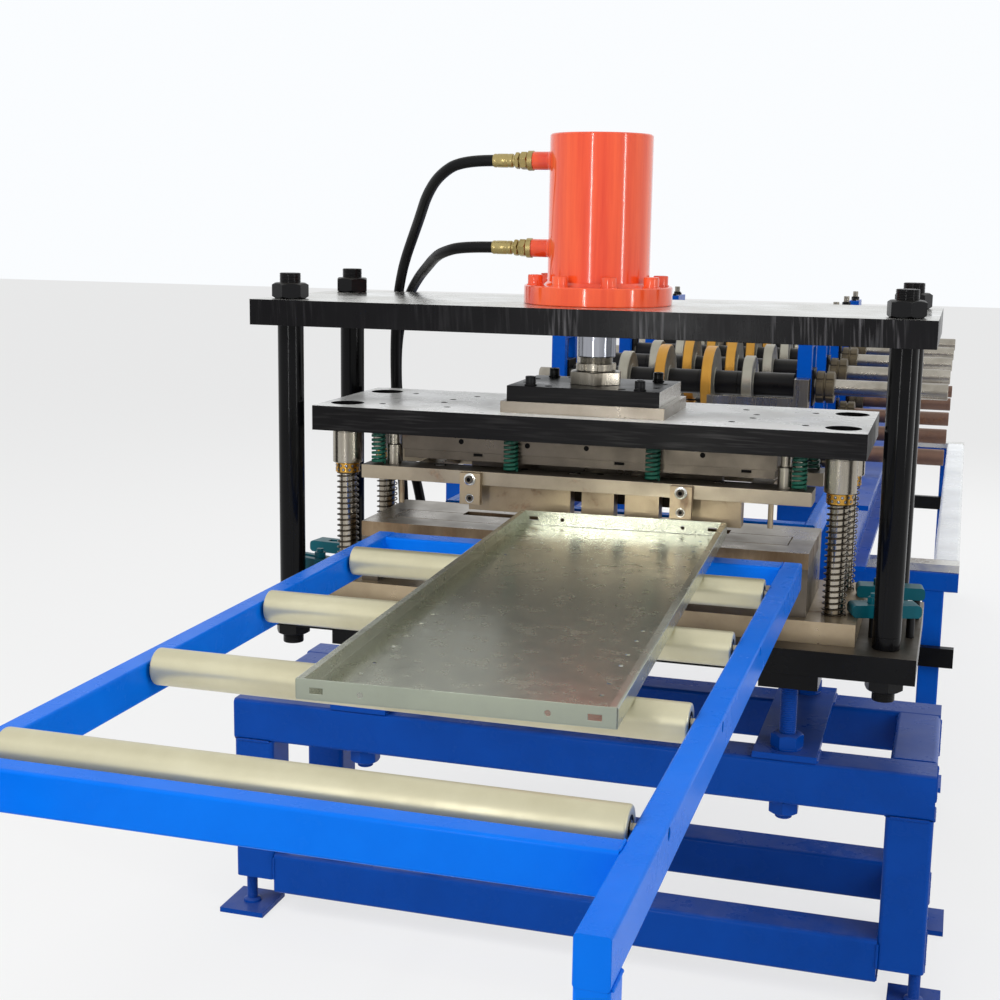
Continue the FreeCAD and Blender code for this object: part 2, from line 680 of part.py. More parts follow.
def make_ram():
    """Plates that the rod drives, with guide bushings and the punch side tooling."""
    upper = box(-ADAPTER_UP_W / 2, ADAPTER_UP_W / 2, CYL_Y - ADAPTER_UP_D / 2, CYL_Y + ADAPTER_UP_D / 2,
                ADAPTER_LOW_TOP, ADAPTER_TOP)
    half_w = ADAPTER_UP_W / 2 + ADAPTER_MARGIN_X
    half_d = ADAPTER_UP_D / 2 + ADAPTER_MARGIN_Y
    lower = box(-half_w, half_w, CYL_Y - half_d, CYL_Y + half_d, MOVING_TOP, ADAPTER_LOW_TOP)
    write("adapter_plate_upper", [upper])
    write("adapter_plate_lower", [lower])

    platen = box(-MOVING_W / 2, MOVING_W / 2, -MOVING_D / 2, MOVING_D / 2, MOVING_UNDER, MOVING_TOP)
    bushes = []
    for x in both(PILLAR_X):
        for y in both(PILLAR_Y):
            platen = platen.cut(rod_z(x, y, MOVING_UNDER, MOVING_TOP, BUSH_R + RUN_CLEAR))
            platen = platen.cut(rod_z(x, y, MOVING_TOP - BUSH_RECESS, MOVING_TOP, BUSH_R + BUSH_RECESS_WIDER))
            bushes.append(pipe_z(x, y, BUSH_BOTTOM, MOVING_TOP - BUSH_RECESS, BUSH_R, CAGE_R + SLIDE_CLEAR))
    half = MOVING_W / 2
    screw_places = [(half - OUTER_SCREW_INSET, SCREW_ROW_Y), (half - INNER_SCREW_INSET, SCREW_ROW_Y),
                    (half - MIDDLE_SCREW_INSET, MIDDLE_SCREW_Y)]
    for hole_x, hole_y in screw_places:
        for x in both(hole_x):
            for y in both(hole_y):
                platen = platen.cut(rod_z(x, y, MOVING_TOP - SCREW_HOLE_DEPTH, MOVING_TOP, SCREW_HOLE_R))
    write("moving_platen", [platen])
    write("guide_bushings", bushes)

    backing = box(-HOLDER_HALF, HOLDER_HALF, -HOLDER_D / 2, HOLDER_D / 2,
                  MOVING_UNDER - BACKING_T, MOVING_UNDER)
    half_w = HOLDER_HALF - HOLDER_STEP
    half_d = HOLDER_D / 2 - HOLDER_STEP
    holder = box(-half_w, half_w, -half_d, half_d, HOLDER_UNDER, MOVING_UNDER - BACKING_T)
    blade = box(-BLADE_HALF, BLADE_HALF, -BLADE_T / 2, BLADE_T / 2, BLADE_BOTTOM, HOLDER_UNDER)
    write("punch_holder", [backing.fuse([holder, blade]).removeSplitter()])

    posts = []
    for x in both(POST_X):
        for y in both(POST_Y):
            posts.append(lathe_z(x, y, [
                (0, STRIPPER_UNDER), (POST_BIG_R, STRIPPER_UNDER), (POST_BIG_R, MOVING_UNDER - POST_SHOULDER),
                (POST_R, MOVING_UNDER - POST_SHOULDER), (POST_R, MOVING_UNDER), (0, MOVING_UNDER)]))
    write("sub_guide_posts", posts)


def make_guides():
    """Guide pillars with their ball cages and the springs that lift the cages."""
    pillars = []
    cages = []
    springs = []
    for x in both(PILLAR_X):
        for y in both(PILLAR_Y):
            pillars.append(rod_z(x, y, SHOE_TOP - PILLAR_SEAT, PILLAR_TOP, PILLAR_R))
            cages.append(pipe_z(x, y, CAGE_BOTTOM, CAGE_BOTTOM + CAGE_H, CAGE_R, PILLAR_R + SLIDE_CLEAR))
            springs.append(pipe_z(x, y, SHOE_TOP, CAGE_BOTTOM, CAGE_SPRING_R,
                                  CAGE_SPRING_R - CAGE_SPRING_WIRE))
    write("guide_pillars", pillars)
    write("ball_cages", cages)
    write("cage_springs", springs)


def make_stripper():
    """Spring-loaded stripper frame that hangs under the punch holder."""
    half = DIE_HALF
    bars = []
    for sy in (-1, 1):
        ys = sorted((sy * STRIPPER_Y, sy * (STRIPPER_Y - STRIPPER_BAR_D)))
        bar = box(-half, half, ys[0], ys[1], STRIPPER_UNDER, STRIPPER_TOP)
        for x in both(POST_X):
            bar = bar.cut(rod_z(x, sy * POST_Y, STRIPPER_UNDER, STRIPPER_TOP, POST_BIG_R + SLIDE_CLEAR))
        bars.append(bar)
    write("stripper_bars", bars)

    links = []
    for x in LINK_XS:
        links.append(box(x - LINK_W / 2, x + LINK_W / 2, -STRIPPER_Y - LINK_T, -STRIPPER_Y,
                         DIE_TOP + LINK_GAP, STRIPPER_TOP - LINK_TOP_GAP))
    inner = STRIPPER_Y - STRIPPER_BAR_D
    for x in both(half - TIE_INSET):
        links.append(box(x - TIE_W / 2, x + TIE_W / 2, -inner, inner, STRIPPER_UNDER, STRIPPER_UNDER + TIE_T))
    write("stripper_links", links)

    pieces = []
    for x0, x1 in PRESSER_EDGES:
        pieces.append(box(x0, x1, PRESSER_FRONT, PRESSER_FRONT + PRESSER_D,
                          DIE_TOP + PRESSER_GAP, STRIPPER_UNDER))
    for x in both(half - STOP_PIN_INSET):
        pieces.append(rod_z(x, STOP_PIN_Y, DIE_TOP + STOP_PIN_GAP, STRIPPER_UNDER, STOP_PIN_R))
    write("presser_blocks", pieces)

    springs = []
    for x in both(half - DIE_SPRING_INSET) + both(INNER_SPRING_X):
        for y in both(DIE_SPRING_Y):
            springs.append(pipe_z(x, y, STRIPPER_TOP, MOVING_UNDER, DIE_SPRING_R,
                                  DIE_SPRING_R - DIE_SPRING_WALL))
    write("die_springs", springs)


def make_die():
    """Die shoe, risers, grooved die plate and the toe clamps that hold them down."""
    shoe = box(-SHOE_HALF, SHOE_HALF, -SHOE_D / 2, SHOE_D / 2, BOTTOM_TOP, SHOE_TOP)
    for x in both(PILLAR_X):
        for y in both(PILLAR_Y):
            shoe = shoe.cut(rod_z(x, y, SHOE_TOP - PILLAR_SEAT, SHOE_TOP, PILLAR_R + RUN_CLEAR))
    write("die_shoe", [shoe])

    risers = []
    for x in both(DIE_HALF - RISER_W / 2) + both(INNER_RISER_X):
        risers.append(box(x - RISER_W / 2, x + RISER_W / 2, DIE_FRONT, DIE_BACK, SHOE_TOP, DIE_UNDER))
    write("die_risers", risers)

    plate = box(-DIE_HALF, DIE_HALF, DIE_FRONT, DIE_BACK, DIE_UNDER, DIE_TOP)
    inlay_back = INLAY_FRONT + INLAY_D
    floor = DIE_TOP - GROOVE_DEPTH
    groove = box(-INLAY_HALF, INLAY_HALF, INLAY_FRONT, inlay_back, floor, DIE_TOP)
    island = box(-INLAY_HALF + GROOVE_W, INLAY_HALF - GROOVE_W, INLAY_FRONT + GROOVE_W,
                 inlay_back - GROOVE_W, floor, DIE_TOP)
    plate = plate.cut(groove.cut(island))
    slot = box(-SLUG_SLOT_HALF, SLUG_SLOT_HALF, -SLUG_SLOT_D / 2, SLUG_SLOT_D / 2, DIE_UNDER, DIE_TOP)
    plate = plate.cut(slot)
    write("die_plate", [plate])

    clamps = []
    for side in (-1, 1):
        for y, turn in (CLAMP_FRONT, CLAMP_REAR):
            clamps.append(toe_clamp(side, y, turn))
    write("toe_clamps", clamps)


def toe_clamp(side, y, turn):
    """Slotted strap with its stud and nut near the toe and a jacking screw at the heel."""
    half = CLAMP_W / 2
    strap = box(0, CLAMP_L, -half, half, SHOE_TOP, SHOE_TOP + CLAMP_T)
    strap = soften(strap, CLAMP_T / 3, V(0, 1, 0))
    slot = box(CLAMP_SLOT_IN, CLAMP_L - CLAMP_SLOT_OUT, -CLAMP_SLOT_W / 2, CLAMP_SLOT_W / 2,
               SHOE_TOP, SHOE_TOP + CLAMP_T)
    strap = strap.cut(slot)
    stud_top = SHOE_TOP + CLAMP_T + CLAMP_NUT_H + CLAMP_STUD_R
    stud = rod_z(CLAMP_STUD_IN, 0, BOTTOM_TOP, stud_top, CLAMP_STUD_R)
    nut = hexagon(V(CLAMP_STUD_IN, 0, SHOE_TOP + CLAMP_T), CLAMP_NUT_AF, CLAMP_NUT_H, V(0, 0, 1))
    heel = rod_z(CLAMP_L - HEEL_IN, 0, BOTTOM_TOP, SHOE_TOP + CLAMP_T / 2, HEEL_R)
    clamp = strap.fuse([stud, nut, heel]).removeSplitter()
    clamp.rotate(V(0, 0, 0), V(0, 0, 1), turn)
    clamp.translate(V(CLAMP_TOE_X, y, 0))
    if side < 0:
        clamp = clamp.mirror(V(0, 0, 0), V(1, 0, 0))
    return clamp


def make_table():
    """Run-out table and the short run-in rails behind the press, with four free rollers."""
    roller_ys = [ROLLER_FIRST_Y - i * ROLLER_PITCH for i in range(ROLLERS)]
    rails = []
    for x0 in (TABLE_LEFT, TABLE_RIGHT - RAIL_W):
        rail = tube(x0, x0 + RAIL_W, TABLE_FRONT, TABLE_REAR, TABLE_UNDER, TABLE_TOP, V(0, 1, 0), RAIL_R)
        for y in roller_ys:
            rail = rail.cut(rod_x(y, ROLLER_AXIS_Z, x0, x0 + RAIL_W, JOURNAL_R + RUN_CLEAR))
        rails.append(rail)
    for x0, foot_x in ((RAIL_IN_LEFT - INFEED_RAIL_W, LINE_X - STAND_BEAM_IN - INFEED_RAIL_W),
                       (RAIL_IN_RIGHT, RAIL_IN_RIGHT)):
        x1 = x0 + INFEED_RAIL_W
        rail = tube(x0, x1, INFEED_FRONT, INFEED_BACK, TABLE_UNDER, TABLE_TOP, V(0, 1, 0), RAIL_R)
        foot = box(foot_x, x1, INFEED_BACK - INFEED_FOOT_L, INFEED_BACK, STAND_BEAM_TOP, TABLE_UNDER + RAIL_R)
        rails.append(rail.fuse(foot).removeSplitter())
    write("table_side_rails", rails)

    front = tube(RAIL_IN_LEFT, RAIL_IN_RIGHT, CROSS_FRONT_Y, CROSS_FRONT_Y + RAIL_W,
                 TABLE_UNDER, TABLE_TOP, V(1, 0, 0), RAIL_R)
    rear = tube(RAIL_IN_LEFT, RAIL_IN_RIGHT, TABLE_REAR - RAIL_H, TABLE_REAR,
                TABLE_TOP - RAIL_W, TABLE_TOP, V(1, 0, 0), RAIL_R)
    for x in HANGER_XS:
        hanger = box(x - HANGER_W / 2, x + HANGER_W / 2, TABLE_REAR, DIE_FRONT,
                     DIE_UNDER, DIE_UNDER + HANGER_T)
        rear = rear.fuse(hanger)
    infeed = tube(RAIL_IN_LEFT, RAIL_IN_RIGHT, INFEED_FRONT, INFEED_FRONT + RAIL_W,
                  TABLE_UNDER, TABLE_TOP, V(1, 0, 0), RAIL_R)
    for x in HANGER_XS:
        infeed = infeed.fuse(box(x - HANGER_W / 2, x + HANGER_W / 2, DIE_BACK, INFEED_FRONT + RAIL_R,
                                 DIE_UNDER, DIE_UNDER + HANGER_T))
    write("table_cross_rails", [front, rear.removeSplitter(), infeed.removeSplitter()])

    legs = []
    for x0 in (TABLE_LEFT, TABLE_RIGHT - RAIL_W):
        post = tube(x0, x0 + RAIL_W, TABLE_FRONT, TABLE_FRONT + RAIL_H, LEG_FOOT_T, TABLE_UNDER,
                    V(0, 0, 1), RAIL_R)
        x = x0 + RAIL_W / 2
        y = TABLE_FRONT + LEG_FOOT_W / 2
        pad = box(x - LEG_FOOT_W / 2, x + LEG_FOOT_W / 2, y - LEG_FOOT_W / 2, y + LEG_FOOT_W / 2,
                  0, LEG_FOOT_T)
        legs.append(post.fuse(pad).removeSplitter())
    write("table_legs", legs)

    for number, y in enumerate(roller_ys, start=1):
        write("table_roller_%d" % number, [table_roller(y)])


def table_roller(y):
    """Zinc-plated roller with rounded ends and journals that turn in the rails."""
    left = RAIL_IN_LEFT + ROLLER_GAP
    right = RAIL_IN_RIGHT - ROLLER_GAP
    out_left = RAIL_IN_LEFT - JOURNAL_IN_RAIL
    out_right = RAIL_IN_RIGHT + JOURNAL_IN_RAIL
    return lathe_x(y, ROLLER_AXIS_Z, [
        (out_left, 0), (out_left, JOURNAL_R), (left, JOURNAL_R), (left, ROLLER_R - ROLLER_EDGE),
        (left + ROLLER_EDGE, ROLLER_R), (right - ROLLER_EDGE, ROLLER_R), (right, ROLLER_R - ROLLER_EDGE),
        (right, JOURNAL_R), (out_right, JOURNAL_R), (out_right, 0)])


def make_panel():
    """Formed shelf panel: a shallow tray with return lips along its two long sides."""
    half_w = PANEL_W / 2
    half_l = PANEL_L / 2
    bottom = ROLLER_AXIS_Z + ROLLER_R + SLIDE_CLEAR
    top = bottom + PANEL_H
    outer = box(-half_w, half_w, -half_l, half_l, bottom, top)
    t = PANEL_SHEET
    inner = box(-half_w + t, half_w - t, -half_l + t, half_l - t, bottom + t, top)
    panel = outer.cut(inner)
    for sx in (-1, 1):
        xs = sorted((sx * (half_w - t), sx * (half_w - PANEL_LIP)))
        panel = panel.fuse(box(xs[0], xs[1], -half_l, half_l, top - t, top))
    panel = panel.removeSplitter()
    panel.rotate(V(0, 0, 0), V(0, 0, 1), PANEL_TURN)
    panel.translate(V(PANEL_X, PANEL_Y, 0))
    write("shelf_panel", [panel])


def shaft(y, z, near_r, far_r):
    """Turned shaft with sleeves, four roll discs and the lock nut outside the right stand."""
    stand_in = STAND_XS[0] + CHOCK_T / 2 + ROLLER_GAP
    stand_out = STAND_XS[1] - CHOCK_T / 2 - ROLLER_GAP
    profile = [(SHAFT_LEFT, 0), (SHAFT_LEFT, SHAFT_R), (stand_in, SHAFT_R), (stand_in, SLEEVE_R)]
    rolls = [(-ROLL_FAR, far_r), (-ROLL_NEAR, near_r), (ROLL_NEAR, near_r), (ROLL_FAR, far_r)]
    for offset, radius in rolls:
        x = ROLL_CENTRE + offset
        profile += [(x - ROLL_T / 2, SLEEVE_R), (x - ROLL_T / 2, radius),
                    (x + ROLL_T / 2, radius), (x + ROLL_T / 2, SLEEVE_R)]
    nut = STAND_XS[1] + CHOCK_T / 2 + ROLLER_GAP
    profile += [(stand_out, SLEEVE_R), (stand_out, SHAFT_R), (nut, SHAFT_R), (nut, LOCKNUT_R),
                (nut + LOCKNUT_L, LOCKNUT_R), (nut + LOCKNUT_L, SHAFT_R),
                (SHAFT_RIGHT, SHAFT_R), (SHAFT_RIGHT, 0)]
    return lathe_x(y, z, profile)


def stand(x, y):
    """Upright roll housing with an open window for its two bearing chocks and a head over them."""
    x0 = x - STAND_T / 2
    x1 = x + STAND_T / 2
    body = box(x0, x1, y - STAND_D / 2, y + STAND_D / 2, STAND_BEAM_TOP, STAND_TOP)
    window = box(x0, x1, y - CHOCK_D / 2, y + CHOCK_D / 2, LOWER_Z - CHOCK_H / 2, STAND_TOP - STAND_HEAD_T)
    return body.cut(window)


def chock(x, y, z, screw_top):
    """Bearing block with a running bore for the shaft, and the screw that sets it from above."""
    x0 = x - CHOCK_T / 2
    x1 = x + CHOCK_T / 2
    block = box(x0, x1, y - CHOCK_D / 2, y + CHOCK_D / 2, z - CHOCK_H / 2, z + CHOCK_H / 2)
    if screw_top:
        block = block.fuse(rod_z(x, y, z + CHOCK_H / 2, screw_top, CHOCK_SCREW_R))
    return block.cut(rod_x(y, z, x0, x1, SHAFT_R + RUN_CLEAR))


def make_bed():
    """Forming bed: base frame, slide bars, two stand beams, roll housings and shafts."""
    legs = []
    cross = []
    slides = []
    low = []
    for y in (FRONT_CROSS_Y, BACK_CROSS_Y):
        y0 = y - CROSS_BEAM_W / 2
        y1 = y + CROSS_BEAM_W / 2
        cross.append(tube(-BED_HALF_W, BED_HALF_W, y0, y1, CROSS_BEAM_TOP - CROSS_BEAM_H,
                          CROSS_BEAM_TOP, V(1, 0, 0)))
        slides.append(box(-BED_HALF_W, BED_HALF_W, y - SLIDE_BAR_W / 2, y + SLIDE_BAR_W / 2,
                          CROSS_BEAM_TOP, SLIDE_TOP))
        low.append(box(-BED_HALF_W, BED_HALF_W, y - BED_LEG_W / 2 - LOW_RAIL_D, y - BED_LEG_W / 2,
                       LOW_RAIL_SHIN, LOW_RAIL_SHIN + LOW_RAIL_H))
        for sx in (-1, 1):
            xs = sorted((sx * BED_LEG_IN, sx * (BED_LEG_IN + BED_LEG_W)))
            post = tube(xs[0], xs[1], y - BED_LEG_W / 2, y + BED_LEG_W / 2, BED_FOOT_T,
                        CROSS_BEAM_TOP - CROSS_BEAM_H, V(0, 0, 1), RAIL_R)
            mid = sum(xs) / 2
            pad = box(mid - BED_FOOT_W / 2, mid + BED_FOOT_W / 2, y - BED_FOOT_W / 2, y + BED_FOOT_W / 2,
                      0, BED_FOOT_T)
            legs.append(post.fuse(pad).removeSplitter())
    write("bed_legs", legs)
    write("bed_cross_beams", cross)
    write("bed_slide_bars", slides)
    write("bed_low_rails", low)

    outer = []
    gap = CROSS_BEAM_W / 2
    for sx in (-1, 1):
        xs = sorted((sx * (BED_HALF_W - OUTER_BEAM_W), sx * BED_HALF_W))
        outer.append(tube(xs[0], xs[1], FRONT_CROSS_Y + gap, BACK_CROSS_Y - gap,
                          SLIDE_TOP - OUTER_BEAM_H, SLIDE_TOP, V(0, 1, 0)))
    write("bed_outer_beams", outer)

    beams = []
    for sx in (-1, 1):
        outer_x = LINE_X + sx * (STAND_BEAM_OUT - STAND_BEAM_LIP)
        web = sorted((outer_x, LINE_X + sx * (STAND_BEAM_IN + STAND_BEAM_LIP)))
        flat = sorted((LINE_X + sx * STAND_BEAM_OUT, LINE_X + sx * STAND_BEAM_IN))
        beam = box(web[0], web[1], STAND_BEAM_FRONT, BED_BACK, SLIDE_TOP, STAND_BEAM_TOP)
        low_flange = box(flat[0], flat[1], STAND_BEAM_FRONT, BED_BACK, SLIDE_TOP, SLIDE_TOP + BED_PLATE_T)
        plate = box(flat[0], flat[1], STAND_BEAM_FRONT, BED_BACK, STAND_BEAM_TOP - BED_PLATE_T, STAND_BEAM_TOP)
        beams.append(beam.fuse([low_flange, plate]).removeSplitter())
    write("stand_beams", beams)

    stands = []
    chocks = []
    for y in STATION_YS:
        for x in STAND_XS:
            stands.append(stand(x, y))
            chocks.append(chock(x, y, LOWER_Z, None))
            chocks.append(chock(x, y, UPPER_Z, STAND_TOP - STAND_HEAD_T))
    write("forming_stands", stands)
    write("bearing_chocks", chocks)

    lower_near = SHAFT_GAP - UPPER_NEAR_R - ROLL_GAP
    lower_far = SHAFT_GAP - UPPER_FAR_R - ROLL_GAP
    for number, y in enumerate(STATION_YS, start=1):
        write("lower_shaft_%d" % number, [shaft(y, LOWER_Z, lower_near, lower_far)])
        write("upper_shaft_%d" % number, [shaft(y, UPPER_Z, UPPER_NEAR_R, UPPER_FAR_R)])

    guide_y = STATION_Y - STAND_D / 2
    front = guide_y - GUIDE_BAR_OUT
    right = STAND_XS[1] + STAND_T / 2
    top = UPPER_Z - GUIDE_BAR_DROP
    bar = box(right - GUIDE_BAR_L, right, front, front + GUIDE_BAR_D, top - GUIDE_BAR_H, top)
    post = box(right - STAND_T, right, front, guide_y, top - GUIDE_BAR_H, top - GUIDE_BAR_H + GUIDE_POST_H)
    write("exit_guide_bar", [bar.fuse(post).removeSplitter()])


def main():
    """Make every node."""
    os.makedirs("parts", exist_ok=True)
    make_base()
    make_press_frame()
    make_cylinder()
    make_hoses()
    make_ram()
    make_guides()
    make_stripper()
    make_die()
    make_table()
    make_panel()
    make_bed()


main()
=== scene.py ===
"""Looks of a roll forming line: forming bed, four-column cut-off press and run-out table.

Sizes are in millimetres about the centre of the press, as a fitter would read them: X across the
line, Y against the feed, Z up.  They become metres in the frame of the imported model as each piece
is finished.
"""
import itertools
import logging
import math
import random
from collections.abc import Iterator
from dataclasses import dataclass, field
from enum import Enum

import bmesh
import bpy
from mathutils import Matrix, Vector


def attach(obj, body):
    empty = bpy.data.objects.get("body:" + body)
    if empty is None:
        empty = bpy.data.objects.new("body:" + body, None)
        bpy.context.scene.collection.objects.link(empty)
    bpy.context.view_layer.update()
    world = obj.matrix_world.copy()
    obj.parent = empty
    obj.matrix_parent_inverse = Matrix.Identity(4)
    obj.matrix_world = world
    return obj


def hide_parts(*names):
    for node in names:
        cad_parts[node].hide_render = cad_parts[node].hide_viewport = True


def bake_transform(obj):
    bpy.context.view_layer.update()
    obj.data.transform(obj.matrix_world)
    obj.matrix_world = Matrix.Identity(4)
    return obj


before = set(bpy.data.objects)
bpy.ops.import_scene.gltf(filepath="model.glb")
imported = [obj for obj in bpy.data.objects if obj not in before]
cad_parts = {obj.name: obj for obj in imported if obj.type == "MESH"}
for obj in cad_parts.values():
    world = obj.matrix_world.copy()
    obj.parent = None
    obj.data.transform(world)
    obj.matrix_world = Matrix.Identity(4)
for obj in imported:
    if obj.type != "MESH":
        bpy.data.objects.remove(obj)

LOG = logging.getLogger("forming_line")
LINE_MIDDLE = 1016.0
DRESSED = "dressed_"
MILLI = 0.001

Rgb = tuple[float, float, float]
Point = tuple[float, float, float]
Value = float | bpy.types.NodeSocket
Colour = Rgb | bpy.types.NodeSocket

UP: Point = (0.0, 0.0, 1.0)
DOWN: Point = (0.0, 0.0, -1.0)
FRONT: Point = (0.0, -1.0, 0.0)
LEFT: Point = (-1.0, 0.0, 0.0)
RIGHT: Point = (1.0, 0.0, 0.0)
SIDES = (-1, 1)


def srgb(red: int, green: int, blue: int) -> Rgb:
    """Turn a colour in 0 to 255 steps into the linear colour that a shader takes.

    Args:
        red: Red share.
        green: Green share.
        blue: Blue share.

    Returns:
        The linear colour.
    """
    def one(step: int) -> float:
        """Linear value of one share."""
        share = step / 255.0
        return share / 12.92 if share <= 0.04045 else ((share + 0.055) / 1.055) ** 2.4
    return (one(red), one(green), one(blue))


DUST = srgb(176, 168, 150)
DUST_ROUGHNESS = 0.85
RUST_ROUGHNESS = 0.8
RUST_METALLIC = 0.1
BAND_FADE = 14.0


def placed(point: Point) -> Vector:
    """Place a point about the press, in millimetres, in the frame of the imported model."""
    return Vector((point[0], point[1] - LINE_MIDDLE, point[2])) * MILLI


def corners(x: float, y: float) -> list[tuple[float, float]]:
    """Four places that lie evenly about the middle of the press."""
    return [(sx * x, sy * y) for sx in SIDES for sy in SIDES]


def show(name: str, data: bpy.types.ID) -> bpy.types.Object:
    """Put new data into the scene.

    Args:
        name: Name of the object.
        data: Its mesh, curve, light or camera.

    Returns:
        The object.
    """
    thing = bpy.data.objects.new(name, data)
    bpy.context.scene.collection.objects.link(thing)
    return thing


class Graph:
    """A node tree under construction."""

    def __init__(self, tree: bpy.types.NodeTree) -> None:
        """Keep the tree that nodes go into."""
        self.tree = tree

    def put(self, kind: str, inputs: dict | None = None, **settings) -> bpy.types.Node:
        """Place a node, and set or link its inputs.

        Args:
            kind: Blender's name of the node type.
            inputs: Input name or number to a value or to the socket that feeds it.
            **settings: Properties of the node itself.

        Returns:
            The new node.
        """
        node = self.tree.nodes.new(kind)
        for name, value in settings.items():
            setattr(node, name, value)
        for name, value in (inputs or {}).items():
            if isinstance(value, bpy.types.NodeSocket):
                self.tree.links.new(value, node.inputs[name])
            else:
                node.inputs[name].default_value = value
        return node

    def math(self, operation: str, first: Value, second: Value, clamp: bool = False) -> bpy.types.NodeSocket:
        """Result of one Math node."""
        inputs = {0: first, 1: second}
        return self.put("ShaderNodeMath", inputs, operation=operation, use_clamp=clamp).outputs[0]

    def spread(self, value: Value, low: Value, high: Value, to_low: float = 0.0,
               to_high: float = 1.0) -> bpy.types.NodeSocket:
        """Value between low and high, stretched to the range to_low to to_high."""
        inputs = {"Value": value, "From Min": low, "From Max": high, "To Min": to_low, "To Max": to_high}
        return self.put("ShaderNodeMapRange", inputs).outputs[0]

    def mix(self, share: Value, first: Colour, second: Colour) -> bpy.types.NodeSocket:
        """Colour between first and second."""
        colours = [(*colour, 1.0) if isinstance(colour, tuple) else colour for colour in (first, second)]
        return self.put("ShaderNodeMix", {0: share, 6: colours[0], 7: colours[1]}, data_type="RGBA").outputs[2]

    def between(self, share: Value, first: Value, second: Value) -> bpy.types.NodeSocket:
        """Number between first and second."""
        return self.put("ShaderNodeMix", {0: share, 2: first, 3: second}).outputs[0]

    def place(self) -> bpy.types.NodeSocket:
        """Place of the shaded point on its object."""
        return self.put("ShaderNodeTexCoord").outputs["Object"]

    def times(self, first: Value, second: Value | Point, operation: str = "MULTIPLY") -> bpy.types.Node:
        """Vector Math node for two vectors."""
        return self.put("ShaderNodeVectorMath", {0: first, 1: second}, operation=operation)

    def cloud(self, place: Value, scale: Value, detail: float, roughness: float = 0.5,
              distortion: float = 0.0) -> bpy.types.NodeSocket:
        """Noise from 0 to 1.

        Args:
            place: Where the noise is read.
            scale: Clouds per metre.
            detail: Octaves.
            roughness: Strength of the finer octaves.
            distortion: Swirl.

        Returns:
            The noise.
        """
        return self.put("ShaderNodeTexNoise", {"Vector": place, "Scale": scale, "Detail": detail,
                                               "Roughness": roughness, "Distortion": distortion}).outputs[0]


class Effect(Enum):
    """Surface effects that the finishes share."""

    MOTTLE = "Mottle"
    WORN_EDGES = "Worn edges and painted highlight"
    TOOL_MARKS = "Tool marks"
    SETTLED_DUST = "Settled dust"
    RUST = "Rust bloom"
    FACING = "Facing"


